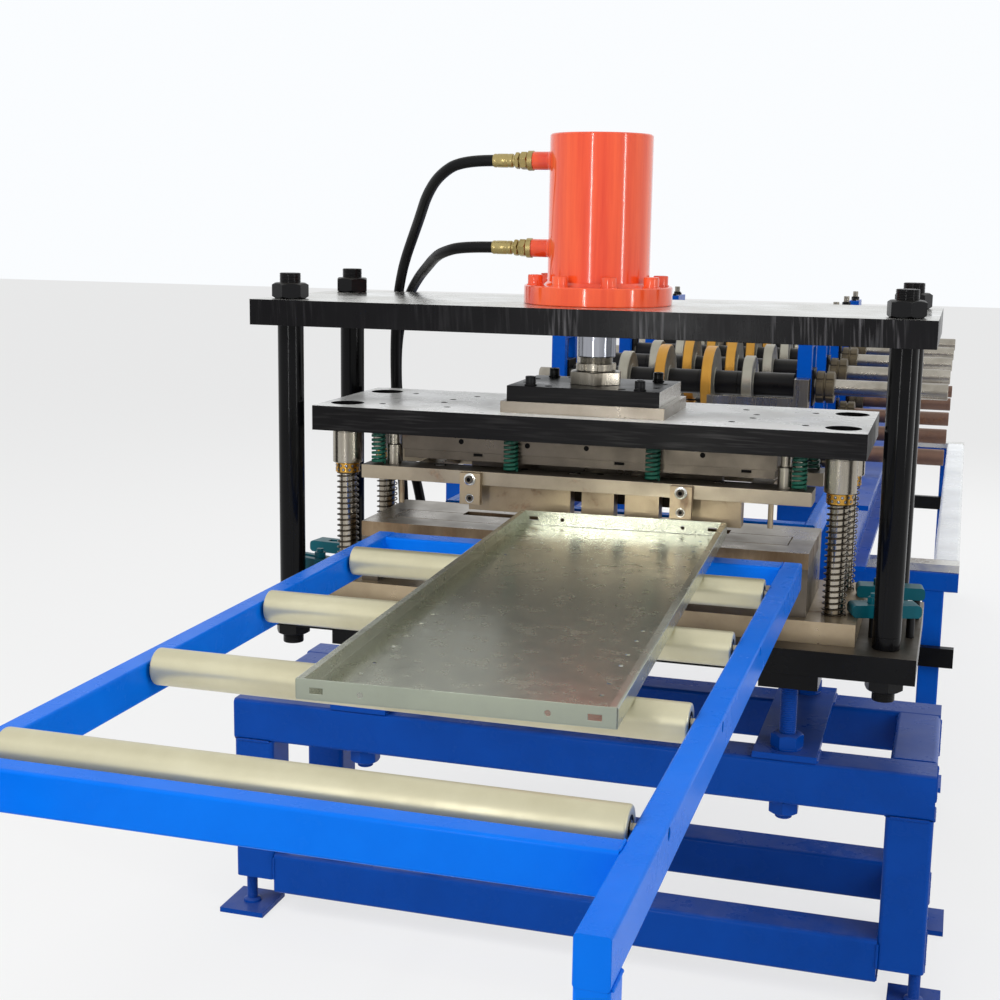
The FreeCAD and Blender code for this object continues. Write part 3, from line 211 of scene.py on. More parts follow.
class Effects:
    """Shader node groups, each built when a finish first asks for it."""

    built: dict[Effect, bpy.types.NodeTree] = {}

    @classmethod
    def use(cls, graph: Graph, effect: Effect, **values) -> bpy.types.Node:
        """Place an effect in a material.

        Args:
            graph: The material's graph.
            effect: Which effect.
            **values: Values of its inputs, with _ for a space.

        Returns:
            The group node.
        """
        if effect not in cls.built:
            cls.built[effect] = getattr(cls, "_" + effect.name.lower())()
        node = graph.put("ShaderNodeGroup")
        node.node_tree = cls.built[effect]
        for name, value in values.items():
            node.inputs[name.replace("_", " ")].default_value = value
        return node

    @staticmethod
    def _open(effect: Effect, takes: dict, gives: dict) -> tuple[Graph, dict, dict]:
        """Start a group.

        Args:
            effect: Which effect.
            takes: Input name to its usual value, a number or three numbers.
            gives: Output name to its socket type.

        Returns:
            The group's graph, and its inputs and outputs by name.
        """
        tree = bpy.data.node_groups.new(effect.value, "ShaderNodeTree")
        for key, value in takes.items():
            kind = "NodeSocketVector" if isinstance(value, tuple) else "NodeSocketFloat"
            socket = tree.interface.new_socket(name=key, in_out="INPUT", socket_type=kind)
            socket.default_value = value
        for key, kind in gives.items():
            tree.interface.new_socket(name=key, in_out="OUTPUT", socket_type=kind)
        graph = Graph(tree)
        return graph, graph.put("NodeGroupInput").outputs, graph.put("NodeGroupOutput").inputs

    @classmethod
    def _mottle(cls) -> bpy.types.NodeTree:
        """Make the cloudy variation of a surface, from 0 to 1.

        Returns:
            The group's tree.
        """
        graph, take, give = cls._open(Effect.MOTTLE, {"Scale": 6.0, "Stretch": (1.0, 1.0, 1.0), "Softness": 0.2},
                                      {"Mask": "NodeSocketFloat"})
        pulled = graph.times(graph.place(), take["Stretch"])
        cloud = graph.cloud(pulled.outputs[0], take["Scale"], 6.0, 0.62)
        low = graph.math("SUBTRACT", 0.5, take["Softness"])
        high = graph.math("ADD", 0.5, take["Softness"])
        graph.tree.links.new(graph.spread(cloud, low, high), give["Mask"])
        return graph.tree

    @classmethod
    def _worn_edges(cls) -> bpy.types.NodeTree:
        """Make the broken line along the edges, for bare metal and painted edge highlight, and the normal of a
        slightly rounded edge.

        Returns:
            The group's tree.
        """
        graph, take, give = cls._open(Effect.WORN_EDGES, {"Width": 0.002, "Amount": 0.5, "Breakup": 40.0},
                                      {"Mask": "NodeSocketFloat", "Normal": "NodeSocketVector"})
        rounded = graph.put("ShaderNodeBevel", {"Radius": take["Width"]}, samples=6).outputs[0]
        flat = graph.put("ShaderNodeNewGeometry").outputs["Normal"]
        along = graph.times(rounded, flat, "DOT_PRODUCT").outputs["Value"]
        near = graph.spread(graph.math("SUBTRACT", 1.0, along), 0.015, 0.16)
        cloud = graph.cloud(graph.place(), take["Breakup"], 5.0, 0.7)
        level = graph.math("SUBTRACT", 0.86, graph.math("MULTIPLY", take["Amount"], 0.6))
        broken = graph.math("MULTIPLY", graph.math("SUBTRACT", cloud, level), 9.0, clamp=True)
        graph.tree.links.new(graph.math("MULTIPLY", near, broken), give["Mask"])
        graph.tree.links.new(rounded, give["Normal"])
        return graph.tree

    @classmethod
    def _tool_marks(cls) -> bpy.types.NodeTree:
        """Make the fine lines of a grinder, mill or lathe, drawn out by the stretch.

        Returns:
            The group's tree.
        """
        graph, take, give = cls._open(Effect.TOOL_MARKS, {"Stretch": (400.0, 10.0, 10.0), "Turn": 0.0},
                                      {"Height": "NodeSocketFloat"})
        turned = graph.put("ShaderNodeVectorRotate", {"Vector": graph.place(), "Angle": take["Turn"]},
                           rotation_type="Y_AXIS")
        pulled = graph.times(turned.outputs[0], take["Stretch"])
        graph.tree.links.new(graph.cloud(pulled.outputs[0], 1.0, 3.0), give["Height"])
        return graph.tree

    @classmethod
    def _settled_dust(cls) -> bpy.types.NodeTree:
        """Make the dust on what faces up.

        Returns:
            The group's tree.
        """
        graph, take, give = cls._open(Effect.SETTLED_DUST, {"Amount": 0.3, "Scale": 9.0},
                                      {"Mask": "NodeSocketFloat"})
        normal = graph.put("ShaderNodeNewGeometry").outputs["Normal"]
        level = graph.spread(graph.put("ShaderNodeSeparateXYZ", {0: normal}).outputs[2], 0.55, 1.0)
        cloud = graph.cloud(graph.place(), take["Scale"], 8.0, 0.68)
        patch = graph.spread(cloud, 0.38, 0.7, 0.15, 1.0)
        mask = graph.math("MULTIPLY", graph.math("MULTIPLY", level, patch), take["Amount"])
        graph.tree.links.new(mask, give["Mask"])
        return graph.tree

    @classmethod
    def _rust(cls) -> bpy.types.NodeTree:
        """Make the blotches of thin rust, with their own brown.

        Returns:
            The group's tree.
        """
        graph, take, give = cls._open(Effect.RUST, {"Amount": 0.3, "Scale": 14.0},
                                      {"Mask": "NodeSocketFloat", "Colour": "NodeSocketColor"})
        where = graph.place()
        cloud = graph.cloud(where, take["Scale"], 9.0, 0.66, 0.4)
        level = graph.math("SUBTRACT", 0.78, graph.math("MULTIPLY", take["Amount"], 0.5))
        mask = graph.math("MULTIPLY", graph.math("SUBTRACT", cloud, level), 5.0, clamp=True)
        fine = graph.cloud(where, 160.0, 4.0)
        colour = graph.mix(graph.spread(fine, 0.35, 0.65), srgb(88, 58, 40), srgb(150, 104, 70))
        graph.tree.links.new(mask, give["Mask"])
        graph.tree.links.new(colour, give["Colour"])
        return graph.tree

    @classmethod
    def _facing(cls) -> bpy.types.NodeTree:
        """Make the mask that is 1 where the surface faces a direction.

        Returns:
            The group's tree.
        """
        graph, take, give = cls._open(Effect.FACING, {"Direction": UP}, {"Mask": "NodeSocketFloat"})
        normal = graph.put("ShaderNodeNewGeometry").outputs["True Normal"]
        along = graph.times(normal, take["Direction"], "DOT_PRODUCT").outputs["Value"]
        graph.tree.links.new(graph.spread(along, 0.6, 0.75), give["Mask"])
        return graph.tree


@dataclass
class Layer:
    """What one finish gives to a shader.

    Attributes:
        colour: Its colour.
        roughness: Its roughness.
        metallic: Its metalness, a plain number where it is the same all over.
        height: Height of its tool marks.
    """

    colour: bpy.types.NodeSocket
    roughness: bpy.types.NodeSocket
    metallic: Value
    height: bpy.types.NodeSocket


@dataclass(frozen=True)
class Finish:
    """A coat of paint or a worked metal surface.

    Attributes:
        name: Name of its material.
        colour: Main colour.
        second: Colour that the clouds drift to.
        mottle: How far the clouds go towards the second colour.
        mottle_scale: Clouds per metre.
        stretch: Pull of the clouds along the three axes.
        roughness: Usual roughness.
        uneven: How far the roughness varies.
        metallic: 1 for bare metal.
        coat: Weight of a clear top coat.
        gloss: Strength of the reflection of a surface that isn't metal, 0.5 for plain paint.
        edge: Colour along the broken edges: bare metal where the paint wears through, and a painted edge highlight
            where it is a lighter tone of the body colour.
        edge_wear: How much of the edges takes that colour, wear and painted highlight together.
        edge_width: Width of the rounded edge in millimetres.
        dust: Dust on what faces up.
        rust: Share of the surface with thin rust.
        marks: Lines per metre of the tool marks along the three axes.
        turn: Slant of the tool marks in degrees, about the line's Y axis.
        depth: Depth of the tool marks in millimetres.
        marks_painted_sheen: How much the tool marks lighten the colour, a painted sheen of the marks where they
            catch the light.
        bands: Stretches across the line, in millimetres, where that painted sheen lies; anywhere if none.
    """

    name: str
    colour: Rgb
    second: Rgb
    mottle: float = 0.5
    mottle_scale: float = 7.0
    stretch: Point = (1.0, 1.0, 1.0)
    roughness: float = 0.35
    uneven: float = 0.14
    metallic: float = 0.0
    coat: float = 0.0
    gloss: float = 0.4
    edge: Rgb = (0.32, 0.31, 0.29)
    edge_wear: float = 0.3
    edge_width: float = 1.5
    dust: float = 0.15
    rust: float = 0.0
    marks: Point = (60.0, 60.0, 60.0)
    turn: float = 0.0
    depth: float = 0.05
    marks_painted_sheen: float = 0.0
    bands: tuple[tuple[float, float], ...] = ()

    def layer(self, graph: Graph, wear_and_highlight: bpy.types.Node) -> Layer:
        """Lay this finish out as nodes.

        Args:
            graph: The material's graph.
            wear_and_highlight: The edge effect of wear and painted highlight that the material shares.

        Returns:
            The sockets that carry it.
        """
        cloud = Effects.use(graph, Effect.MOTTLE, Scale=self.mottle_scale, Stretch=self.stretch).outputs[0]
        turn = math.radians(self.turn)
        lines = Effects.use(graph, Effect.TOOL_MARKS, Stretch=self.marks, Turn=turn).outputs[0]
        dust = Effects.use(graph, Effect.SETTLED_DUST, Amount=self.dust).outputs[0]
        colour = graph.mix(graph.math("MULTIPLY", cloud, self.mottle), self.colour, self.second)
        # Tool marks lightened in patches: a painted sheen of the marks.
        if self.marks_painted_sheen:
            painted_sheen = graph.math("MULTIPLY", graph.spread(lines, 0.5, 0.72), self.marks_painted_sheen)
            colour = graph.mix(graph.math("MULTIPLY", painted_sheen, self._sheen_patches(graph)), colour, self.edge)
        # Edge colour along the broken edges: wear, and a painted edge highlight where it is lighter than the body.
        colour = graph.mix(wear_and_highlight.outputs["Mask"], colour, self.edge)
        rough = graph.spread(cloud, 0.0, 1.0, self.roughness - self.uneven / 2, self.roughness + self.uneven)
        metallic: Value = self.metallic
        if self.rust:
            rust = Effects.use(graph, Effect.RUST, Amount=self.rust)
            colour = graph.mix(rust.outputs["Mask"], colour, rust.outputs["Colour"])
            rough = graph.between(rust.outputs["Mask"], rough, RUST_ROUGHNESS)
            metallic = graph.between(rust.outputs["Mask"], self.metallic, RUST_METALLIC)
        colour = graph.mix(dust, colour, DUST)
        return Layer(colour, graph.between(dust, rough, DUST_ROUGHNESS), metallic, lines)

    def _sheen_patches(self, graph: Graph) -> bpy.types.NodeSocket:
        """Mask the places where the tool marks get their painted sheen.

        Args:
            graph: The material's graph.

        Returns:
            The mask.
        """
        patch = Effects.use(graph, Effect.MOTTLE, Scale=2.6, Softness=0.12).outputs[0]
        if self.bands:
            across = graph.put("ShaderNodeSeparateXYZ", {0: graph.place()}).outputs[0]
            patch = graph.math("MULTIPLY", patch, 0.2)
            for low, high in self.bands:
                rise = graph.spread(across, low * MILLI, (low + BAND_FADE) * MILLI)
                fall = graph.spread(across, (high - BAND_FADE) * MILLI, high * MILLI)
                patch = graph.math("MAXIMUM", patch, graph.math("SUBTRACT", rise, fall))
        return patch

    def build(self) -> bpy.types.Material:
        """Make the material."""
        return _assemble(self.name, self)


@dataclass(frozen=True)
class TwoSided:
    """A body finish with another one on the faces that look one way.

    Attributes:
        name: Name of its material.
        body: Finish of the rest.
        face: Finish of the faces that look along towards.
        towards: That direction.
        above: Height in millimetres above which the face finish lies instead, if it goes by height.
    """

    name: str
    body: Finish
    face: Finish
    towards: Point = UP
    above: float | None = None

    def build(self) -> bpy.types.Material:
        """Make the material."""
        return _assemble(self.name, self.body, self.face, self.towards, self.above)


def _assemble(name: str, body: Finish, face: Finish | None = None, towards: Point = UP,
              above: float | None = None) -> bpy.types.Material:
    """Make a material of one finish, or of two by direction or height.

    Args:
        name: Name of the material.
        body: Main finish.
        face: Finish of the faces that look along towards, if they differ.
        towards: That direction.
        above: Height in millimetres above which the face finish lies, if it goes by height.

    Returns:
        The material.
    """
    material = bpy.data.materials.new(DRESSED + name)
    material.use_nodes = True
    material.node_tree.nodes.clear()
    graph = Graph(material.node_tree)
    wear_and_highlight = Effects.use(graph, Effect.WORN_EDGES, Width=body.edge_width * MILLI, Amount=body.edge_wear)
    look = body.layer(graph, wear_and_highlight)
    if face is not None:
        if above is None:
            side = Effects.use(graph, Effect.FACING, Direction=towards).outputs[0]
        else:
            height = graph.put("ShaderNodeSeparateXYZ", {0: graph.place()}).outputs[2]
            side = graph.math("GREATER_THAN", height, above * MILLI)
        other = face.layer(graph, wear_and_highlight)
        metallic = look.metallic
        if metallic != other.metallic:
            metallic = graph.between(side, metallic, other.metallic)
        look = Layer(graph.mix(side, look.colour, other.colour),
                     graph.between(side, look.roughness, other.roughness), metallic,
                     graph.between(side, look.height, other.height))
    bump = graph.put("ShaderNodeBump", {"Height": look.height, "Normal": wear_and_highlight.outputs["Normal"],
                                        "Strength": 0.6, "Distance": body.depth * MILLI})
    shader = graph.put("ShaderNodeBsdfPrincipled", {
        "Base Color": look.colour, "Roughness": look.roughness, "Metallic": look.metallic,
        "Coat Weight": body.coat, "Coat Roughness": 0.06, "Specular IOR Level": body.gloss,
        "Normal": bump.outputs[0]})
    graph.put("ShaderNodeOutputMaterial", {"Surface": shader.outputs[0]})
    return material


BARE = srgb(168, 166, 158)
PAINT = dict(metallic=0.0, gloss=0.1, roughness=0.24, uneven=0.08, marks=(55.0, 55.0, 55.0), depth=0.05)
TURNED = dict(metallic=1.0, roughness=0.22, marks=(25.0, 25.0, 900.0), depth=0.02, dust=0.05, edge_wear=0.1)


class Coat(Enum):
    """Finishes of the machine's pieces."""

    # Edge colours that are lighter tones of the paint are a painted edge highlight along the broken edges.
    FRAME_BLUE = Finish("frame_blue_enamel", srgb(0, 68, 160), srgb(0, 54, 132), edge=srgb(50, 104, 190),
                        edge_wear=0.2, edge_width=2.0, dust=0.12, **PAINT)
    TABLE_BLUE = Finish("table_blue_enamel", srgb(6, 112, 226), srgb(0, 96, 206), edge=srgb(110, 170, 235),
                        edge_wear=0.2, dust=0.03, **{**PAINT, "gloss": 0.05})
    BED_BLUE = Finish("bed_blue_enamel", srgb(2, 84, 186), srgb(0, 62, 150), edge=srgb(100, 130, 170),
                      edge_wear=0.4, dust=0.25, **PAINT)
    # Vertical streaks between the two reds: partly uneven tone, partly painted highlight bands.
    CYLINDER_RED = Finish("cylinder_red_enamel", srgb(246, 98, 46), srgb(214, 58, 26), mottle=1.0,
                          mottle_scale=22.0, stretch=(1.0, 1.0, 0.05), edge=srgb(255, 170, 120),
                          edge_width=2.0, dust=0.03, **{**PAINT, "gloss": 0.35, "coat": 0.5, "roughness": 0.12,
                                                       "marks": (34.0, 34.0, 1.6), "depth": 0.5})
    COLUMN_BLACK = Finish("column_black", srgb(7, 7, 8), srgb(20, 20, 22), roughness=0.12, uneven=0.1,
                          gloss=0.12, mottle_scale=14.0, stretch=(1.0, 1.0, 0.2), edge=srgb(120, 120, 122),
                          edge_wear=0.15, edge_width=0.6, dust=0.0, marks=(160.0, 160.0, 12.0), depth=0.03)
    NUT_BLACK = Finish("nut_black_oxide", srgb(12, 12, 13), srgb(26, 26, 28), roughness=0.28, uneven=0.15,
                       gloss=0.16, edge=srgb(120, 120, 122), edge_wear=0.45, edge_width=1.0,
                       dust=0.08)
    # Black face whose mill marks get a painted sheen in the given bands across the line.
    PLATEN_BLACK = Finish("platen_black_face", srgb(7, 6, 8), srgb(18, 17, 19), roughness=0.26, uneven=0.15,
                          gloss=0.12, edge=srgb(112, 110, 112), edge_wear=0.5, edge_width=1.4, dust=0.0,
                          mottle_scale=5.0, marks=(120.0, 4.0, 7.0), turn=3.0, marks_painted_sheen=0.55,
                          bands=((-104.0, 20.0), (132.0, 256.0), (420.0, 700.0)))
    ADAPTER_BLACK = Finish("adapter_black_face", srgb(8, 7, 8), srgb(20, 19, 20), roughness=0.3, gloss=0.12,
                           edge=srgb(120, 118, 116), edge_wear=0.5, edge_width=1.2, dust=0.0,
                           marks=(8.0, 8.0, 160.0), depth=0.04, marks_painted_sheen=0.12)
    # Near-white, mostly diffuse steel for the moving platen's top: painted glare, standing in for the reflection on
    # the ground top.
    GROUND_LIGHT = Finish("ground_steel_painted_glare", srgb(254, 254, 252), srgb(238, 236, 230),
                          roughness=0.24, metallic=0.15, gloss=0.5, edge=srgb(250, 250, 246), edge_wear=0.4,
                          dust=0.02, marks=(14.0, 500.0, 500.0), depth=0.02)
    DIE_TOP = Finish("die_top_ground", srgb(158, 150, 138), srgb(124, 114, 100), mottle=0.7, roughness=0.26,
                     metallic=0.9, edge=srgb(214, 206, 190), edge_wear=0.5, edge_width=1.0, dust=0.05, rust=0.2,
                     marks=(12.0, 380.0, 380.0), depth=0.03)
    DIE_BODY = Finish("die_block_steel", srgb(150, 130, 104), srgb(88, 68, 48), mottle=0.9, mottle_scale=16.0,
                      stretch=(1.0, 1.0, 0.35), roughness=0.36, metallic=0.85, edge=srgb(206, 192, 168),
                      edge_wear=0.5, edge_width=1.0, dust=0.05, rust=0.46, marks=(12.0, 400.0, 400.0), depth=0.03)
    GROUND = Finish("ground_steel", srgb(216, 215, 210), srgb(178, 174, 164), mottle=0.4, roughness=0.2,
                    uneven=0.16, metallic=1.0, edge=srgb(230, 228, 222), edge_wear=0.4, dust=0.06, rust=0.02,
                    marks=(14.0, 500.0, 500.0), depth=0.02)
    TOOL_STEEL = Finish("tool_steel", srgb(168, 156, 136), srgb(120, 108, 92), roughness=0.32, uneven=0.2,
                        metallic=0.9, edge=srgb(214, 206, 190), edge_wear=0.5, edge_width=1.0, dust=0.06,
                        rust=0.34, marks=(12.0, 400.0, 400.0), depth=0.03)
    DARK_STEEL = Finish("dark_tool_steel", srgb(100, 92, 82), srgb(58, 52, 46), roughness=0.34, uneven=0.2,
                        metallic=0.85, edge=srgb(186, 180, 168), edge_wear=0.5, edge_width=1.0, dust=0.1,
                        rust=0.3, marks=(12.0, 380.0, 380.0), depth=0.03)
    SHOE_STEEL = Finish("die_shoe_steel", srgb(176, 158, 130), srgb(120, 102, 80), roughness=0.36, uneven=0.2,
                        metallic=0.8, edge=srgb(206, 194, 172), edge_wear=0.5, edge_width=1.2, dust=0.1,
                        rust=0.44, marks=(12.0, 380.0, 380.0), depth=0.03)
    # Chrome, turned steel and pillar steel: their vertical light and dark streaks are partly smear and partly
    # painted reflection of the surroundings.
    CHROME = Finish("rod_chrome", srgb(184, 186, 194), srgb(74, 78, 86), mottle=0.9, mottle_scale=34.0,
                    stretch=(1.0, 1.0, 0.03), **{**TURNED, "roughness": 0.1})
    TURNED_STEEL = Finish("turned_steel", srgb(186, 180, 168), srgb(120, 112, 98), mottle=0.8, mottle_scale=22.0,
                          stretch=(1.0, 1.0, 0.08), rust=0.06, **TURNED)
    PILLAR_STEEL = Finish("pillar_steel", srgb(182, 174, 160), srgb(108, 100, 88), mottle=0.8, mottle_scale=40.0,
                          stretch=(1.0, 1.0, 0.05), **{**TURNED, "roughness": 0.18})
    SPRING_STEEL = Finish("spring_steel", srgb(84, 74, 62), srgb(52, 45, 38), rust=0.16,
                          **{**TURNED, "marks": (60.0, 60.0, 60.0), "roughness": 0.3})
    BRASS = Finish("cage_brass", srgb(206, 158, 74), srgb(160, 116, 48), **TURNED)
    ZINC_YELLOW = Finish("fitting_yellow_zinc", srgb(184, 166, 112), srgb(146, 126, 78),
                         mottle_scale=14.0, **{**TURNED, "marks": (60.0, 20.0, 20.0), "roughness": 0.3})
    SPRING_GREEN = Finish("die_spring_green", srgb(14, 84, 66), srgb(6, 56, 46), roughness=0.3, gloss=0.3,
                          edge=srgb(120, 150, 140), edge_wear=0.4, edge_width=0.8, dust=0.06)
    CLAMP_TEAL = Finish("clamp_teal", srgb(12, 92, 104), srgb(8, 66, 80), roughness=0.34, gloss=0.3, edge=BARE,
                        edge_wear=0.6, edge_width=1.2, dust=0.1)
    ROLLER_ZINC = Finish("roller_zinc", srgb(208, 202, 172), srgb(176, 168, 136), mottle=0.6, mottle_scale=5.0,
                         roughness=0.36, metallic=0.6, edge=srgb(206, 202, 184), dust=0.05, rust=0.03,
                         marks=(500.0, 20.0, 20.0), depth=0.01)
    GALVANISED = Finish("panel_galvanised", srgb(206, 208, 192), srgb(180, 180, 160), mottle=0.4,
                        mottle_scale=26.0, roughness=0.23, uneven=0.07, metallic=0.88,
                        edge=srgb(230, 232, 220), edge_wear=0.0, edge_width=0.3, dust=0.0,
                        marks=(120.0, 4.0, 120.0), depth=0.002)
    # Darker galvanised grey for the outward faces of the panel's front flange: painted shade.
    PANEL_END = Finish("panel_front_painted_shade", srgb(156, 162, 148), srgb(134, 138, 126), roughness=0.4,
                       metallic=0.7, gloss=0.3, edge_wear=0.0, dust=0.0, depth=0.002)
    RUBBER = Finish("hose_rubber", srgb(10, 10, 11), srgb(22, 22, 22), roughness=0.4, gloss=0.14,
                    edge=srgb(60, 60, 60), edge_wear=0.0, dust=0.06, marks=(220.0, 220.0, 220.0), depth=0.1)
    ROLL_RIM = Finish("roll_rim_bronze", srgb(206, 152, 62), srgb(166, 116, 42), roughness=0.36, metallic=0.55,
                      edge=srgb(228, 200, 140), dust=0.06, marks=(600.0, 20.0, 20.0), depth=0.03)
    ROLL_FACE = Finish("roll_face_steel", srgb(178, 174, 160), srgb(134, 128, 112), roughness=0.32, metallic=0.8,
                       edge=srgb(216, 212, 204), dust=0.05, rust=0.08, marks=(40.0, 260.0, 260.0), depth=0.02)
    SLEEVE_BLACK = Finish("sleeve_black_oxide", srgb(12, 12, 13), srgb(30, 28, 27), roughness=0.3,
                          gloss=0.16, edge=srgb(120, 116, 108), edge_wear=0.4, dust=0.1)
    SHAFT_BRIGHT = Finish("shaft_ground", srgb(184, 178, 166), srgb(120, 112, 100), mottle=0.8, roughness=0.24,
                          metallic=1.0, edge=srgb(220, 216, 206), dust=0.05, rust=0.1,
                          marks=(500.0, 20.0, 20.0), depth=0.02)
    SHAFT_BROWN = Finish("shaft_rusty", srgb(124, 96, 82), srgb(80, 58, 48), roughness=0.4, metallic=0.6,
                         edge=srgb(180, 168, 150), dust=0.12, rust=0.5, marks=(500.0, 20.0, 20.0), depth=0.03)
    LOCK_NUT = Finish("lock_nut_phosphate", srgb(104, 92, 70), srgb(60, 54, 44), roughness=0.4, metallic=0.6,
                      edge=srgb(180, 170, 148), edge_wear=0.5, dust=0.1)
    BEAM_WHITE = Finish("beam_white_enamel", srgb(250, 252, 252), srgb(232, 236, 238), edge=srgb(150, 156, 160),
                        edge_wear=0.35, **PAINT)
    RAIL_BLACK = Finish("rail_black_enamel", srgb(9, 9, 10), srgb(22, 22, 24), edge=srgb(96, 96, 98),
                        edge_wear=0.4, dust=0.06, **PAINT)
    # Near-black for the insides of sockets, holes and slots: painted shadow.
    SOCKET_DARK = Finish("socket_painted_shadow", srgb(8, 8, 8), srgb(14, 13, 12), roughness=0.6, gloss=0.1, edge_wear=0.0,
                         dust=0.0)

    @property
    def material(self) -> bpy.types.Material:
        """Its material, made when first used."""
        return bpy.data.materials.get(DRESSED + self.value.name) or self.value.build()


class Faced(Enum):
    """Finishes that differ by the way a face looks."""

    TOP_PLATEN = TwoSided("top_platen_finish", Coat.PLATEN_BLACK.value, Coat.GROUND.value)
    # Its top takes the near-white painted glare.
    MOVING_PLATEN = TwoSided("moving_platen_finish", Coat.ADAPTER_BLACK.value, Coat.GROUND_LIGHT.value)
    BOTTOM_PLATEN = TwoSided("bottom_platen_finish", Coat.RAIL_BLACK.value, Coat.DARK_STEEL.value)
    ADAPTER = TwoSided("adapter_finish", Coat.ADAPTER_BLACK.value, Coat.GROUND.value, (1.0, 0.0, 0.0))
    TOE_CLAMP = TwoSided("toe_clamp_finish", Coat.NUT_BLACK.value, Coat.CLAMP_TEAL.value, above=842.0)
    DIE = TwoSided("die_block_finish", Coat.DIE_BODY.value, Coat.DIE_TOP.value)
    STRIPPER = TwoSided("stripper_bar_finish", Coat.TOOL_STEEL.value, Coat.DARK_STEEL.value)
    JACK_BARS = TwoSided("jack_bar_finish", Coat.FRAME_BLUE.value, Coat.RAIL_BLACK.value, above=640.0)

    @property
    def material(self) -> bpy.types.Material:
        """Its material, made when first used."""
        return bpy.data.materials.get(DRESSED + self.value.name) or self.value.build()


@dataclass(frozen=True)
class Hex:
    """Hexagonal section.

    Attributes:
        flats: Width across the flats.
        slope: How steeply the corners fall away from the ring's height, for a chamfer.
    """

    flats: float
    slope: float = 0.0

    def at(self, angle: float) -> tuple[float, float]:
        """Read the section at an angle.

        Args:
            angle: The angle in radians.

        Returns:
            Radius there, and how far the ring moves along the axis.
        """
        inner = self.flats / 2
        radius = inner / math.cos((angle + math.pi / 6) % (math.pi / 3) - math.pi / 6)
        return radius, -self.slope * (radius - inner)


@dataclass(frozen=True)
class Slotted:
    """Round section with spanner slots.

    Attributes:
        radius: Radius of the round.
        depth: Depth of the slots.
        count: Number of slots.
        width: Width of a slot in degrees.
    """

    radius: float
    depth: float
    count: int
    width: float

    def at(self, angle: float) -> tuple[float, float]:
        """Read the section at an angle.

        Args:
            angle: The angle in radians.

        Returns:
            Radius there, and how far the ring moves along the axis.
        """
        step = 360.0 / self.count
        off = abs((math.degrees(angle) + step / 2) % step - step / 2)
        return self.radius - (self.depth if off < self.width / 2 else 0.0), 0.0


Section = float | Hex | Slotted
Rings = list[tuple[Section, float]]


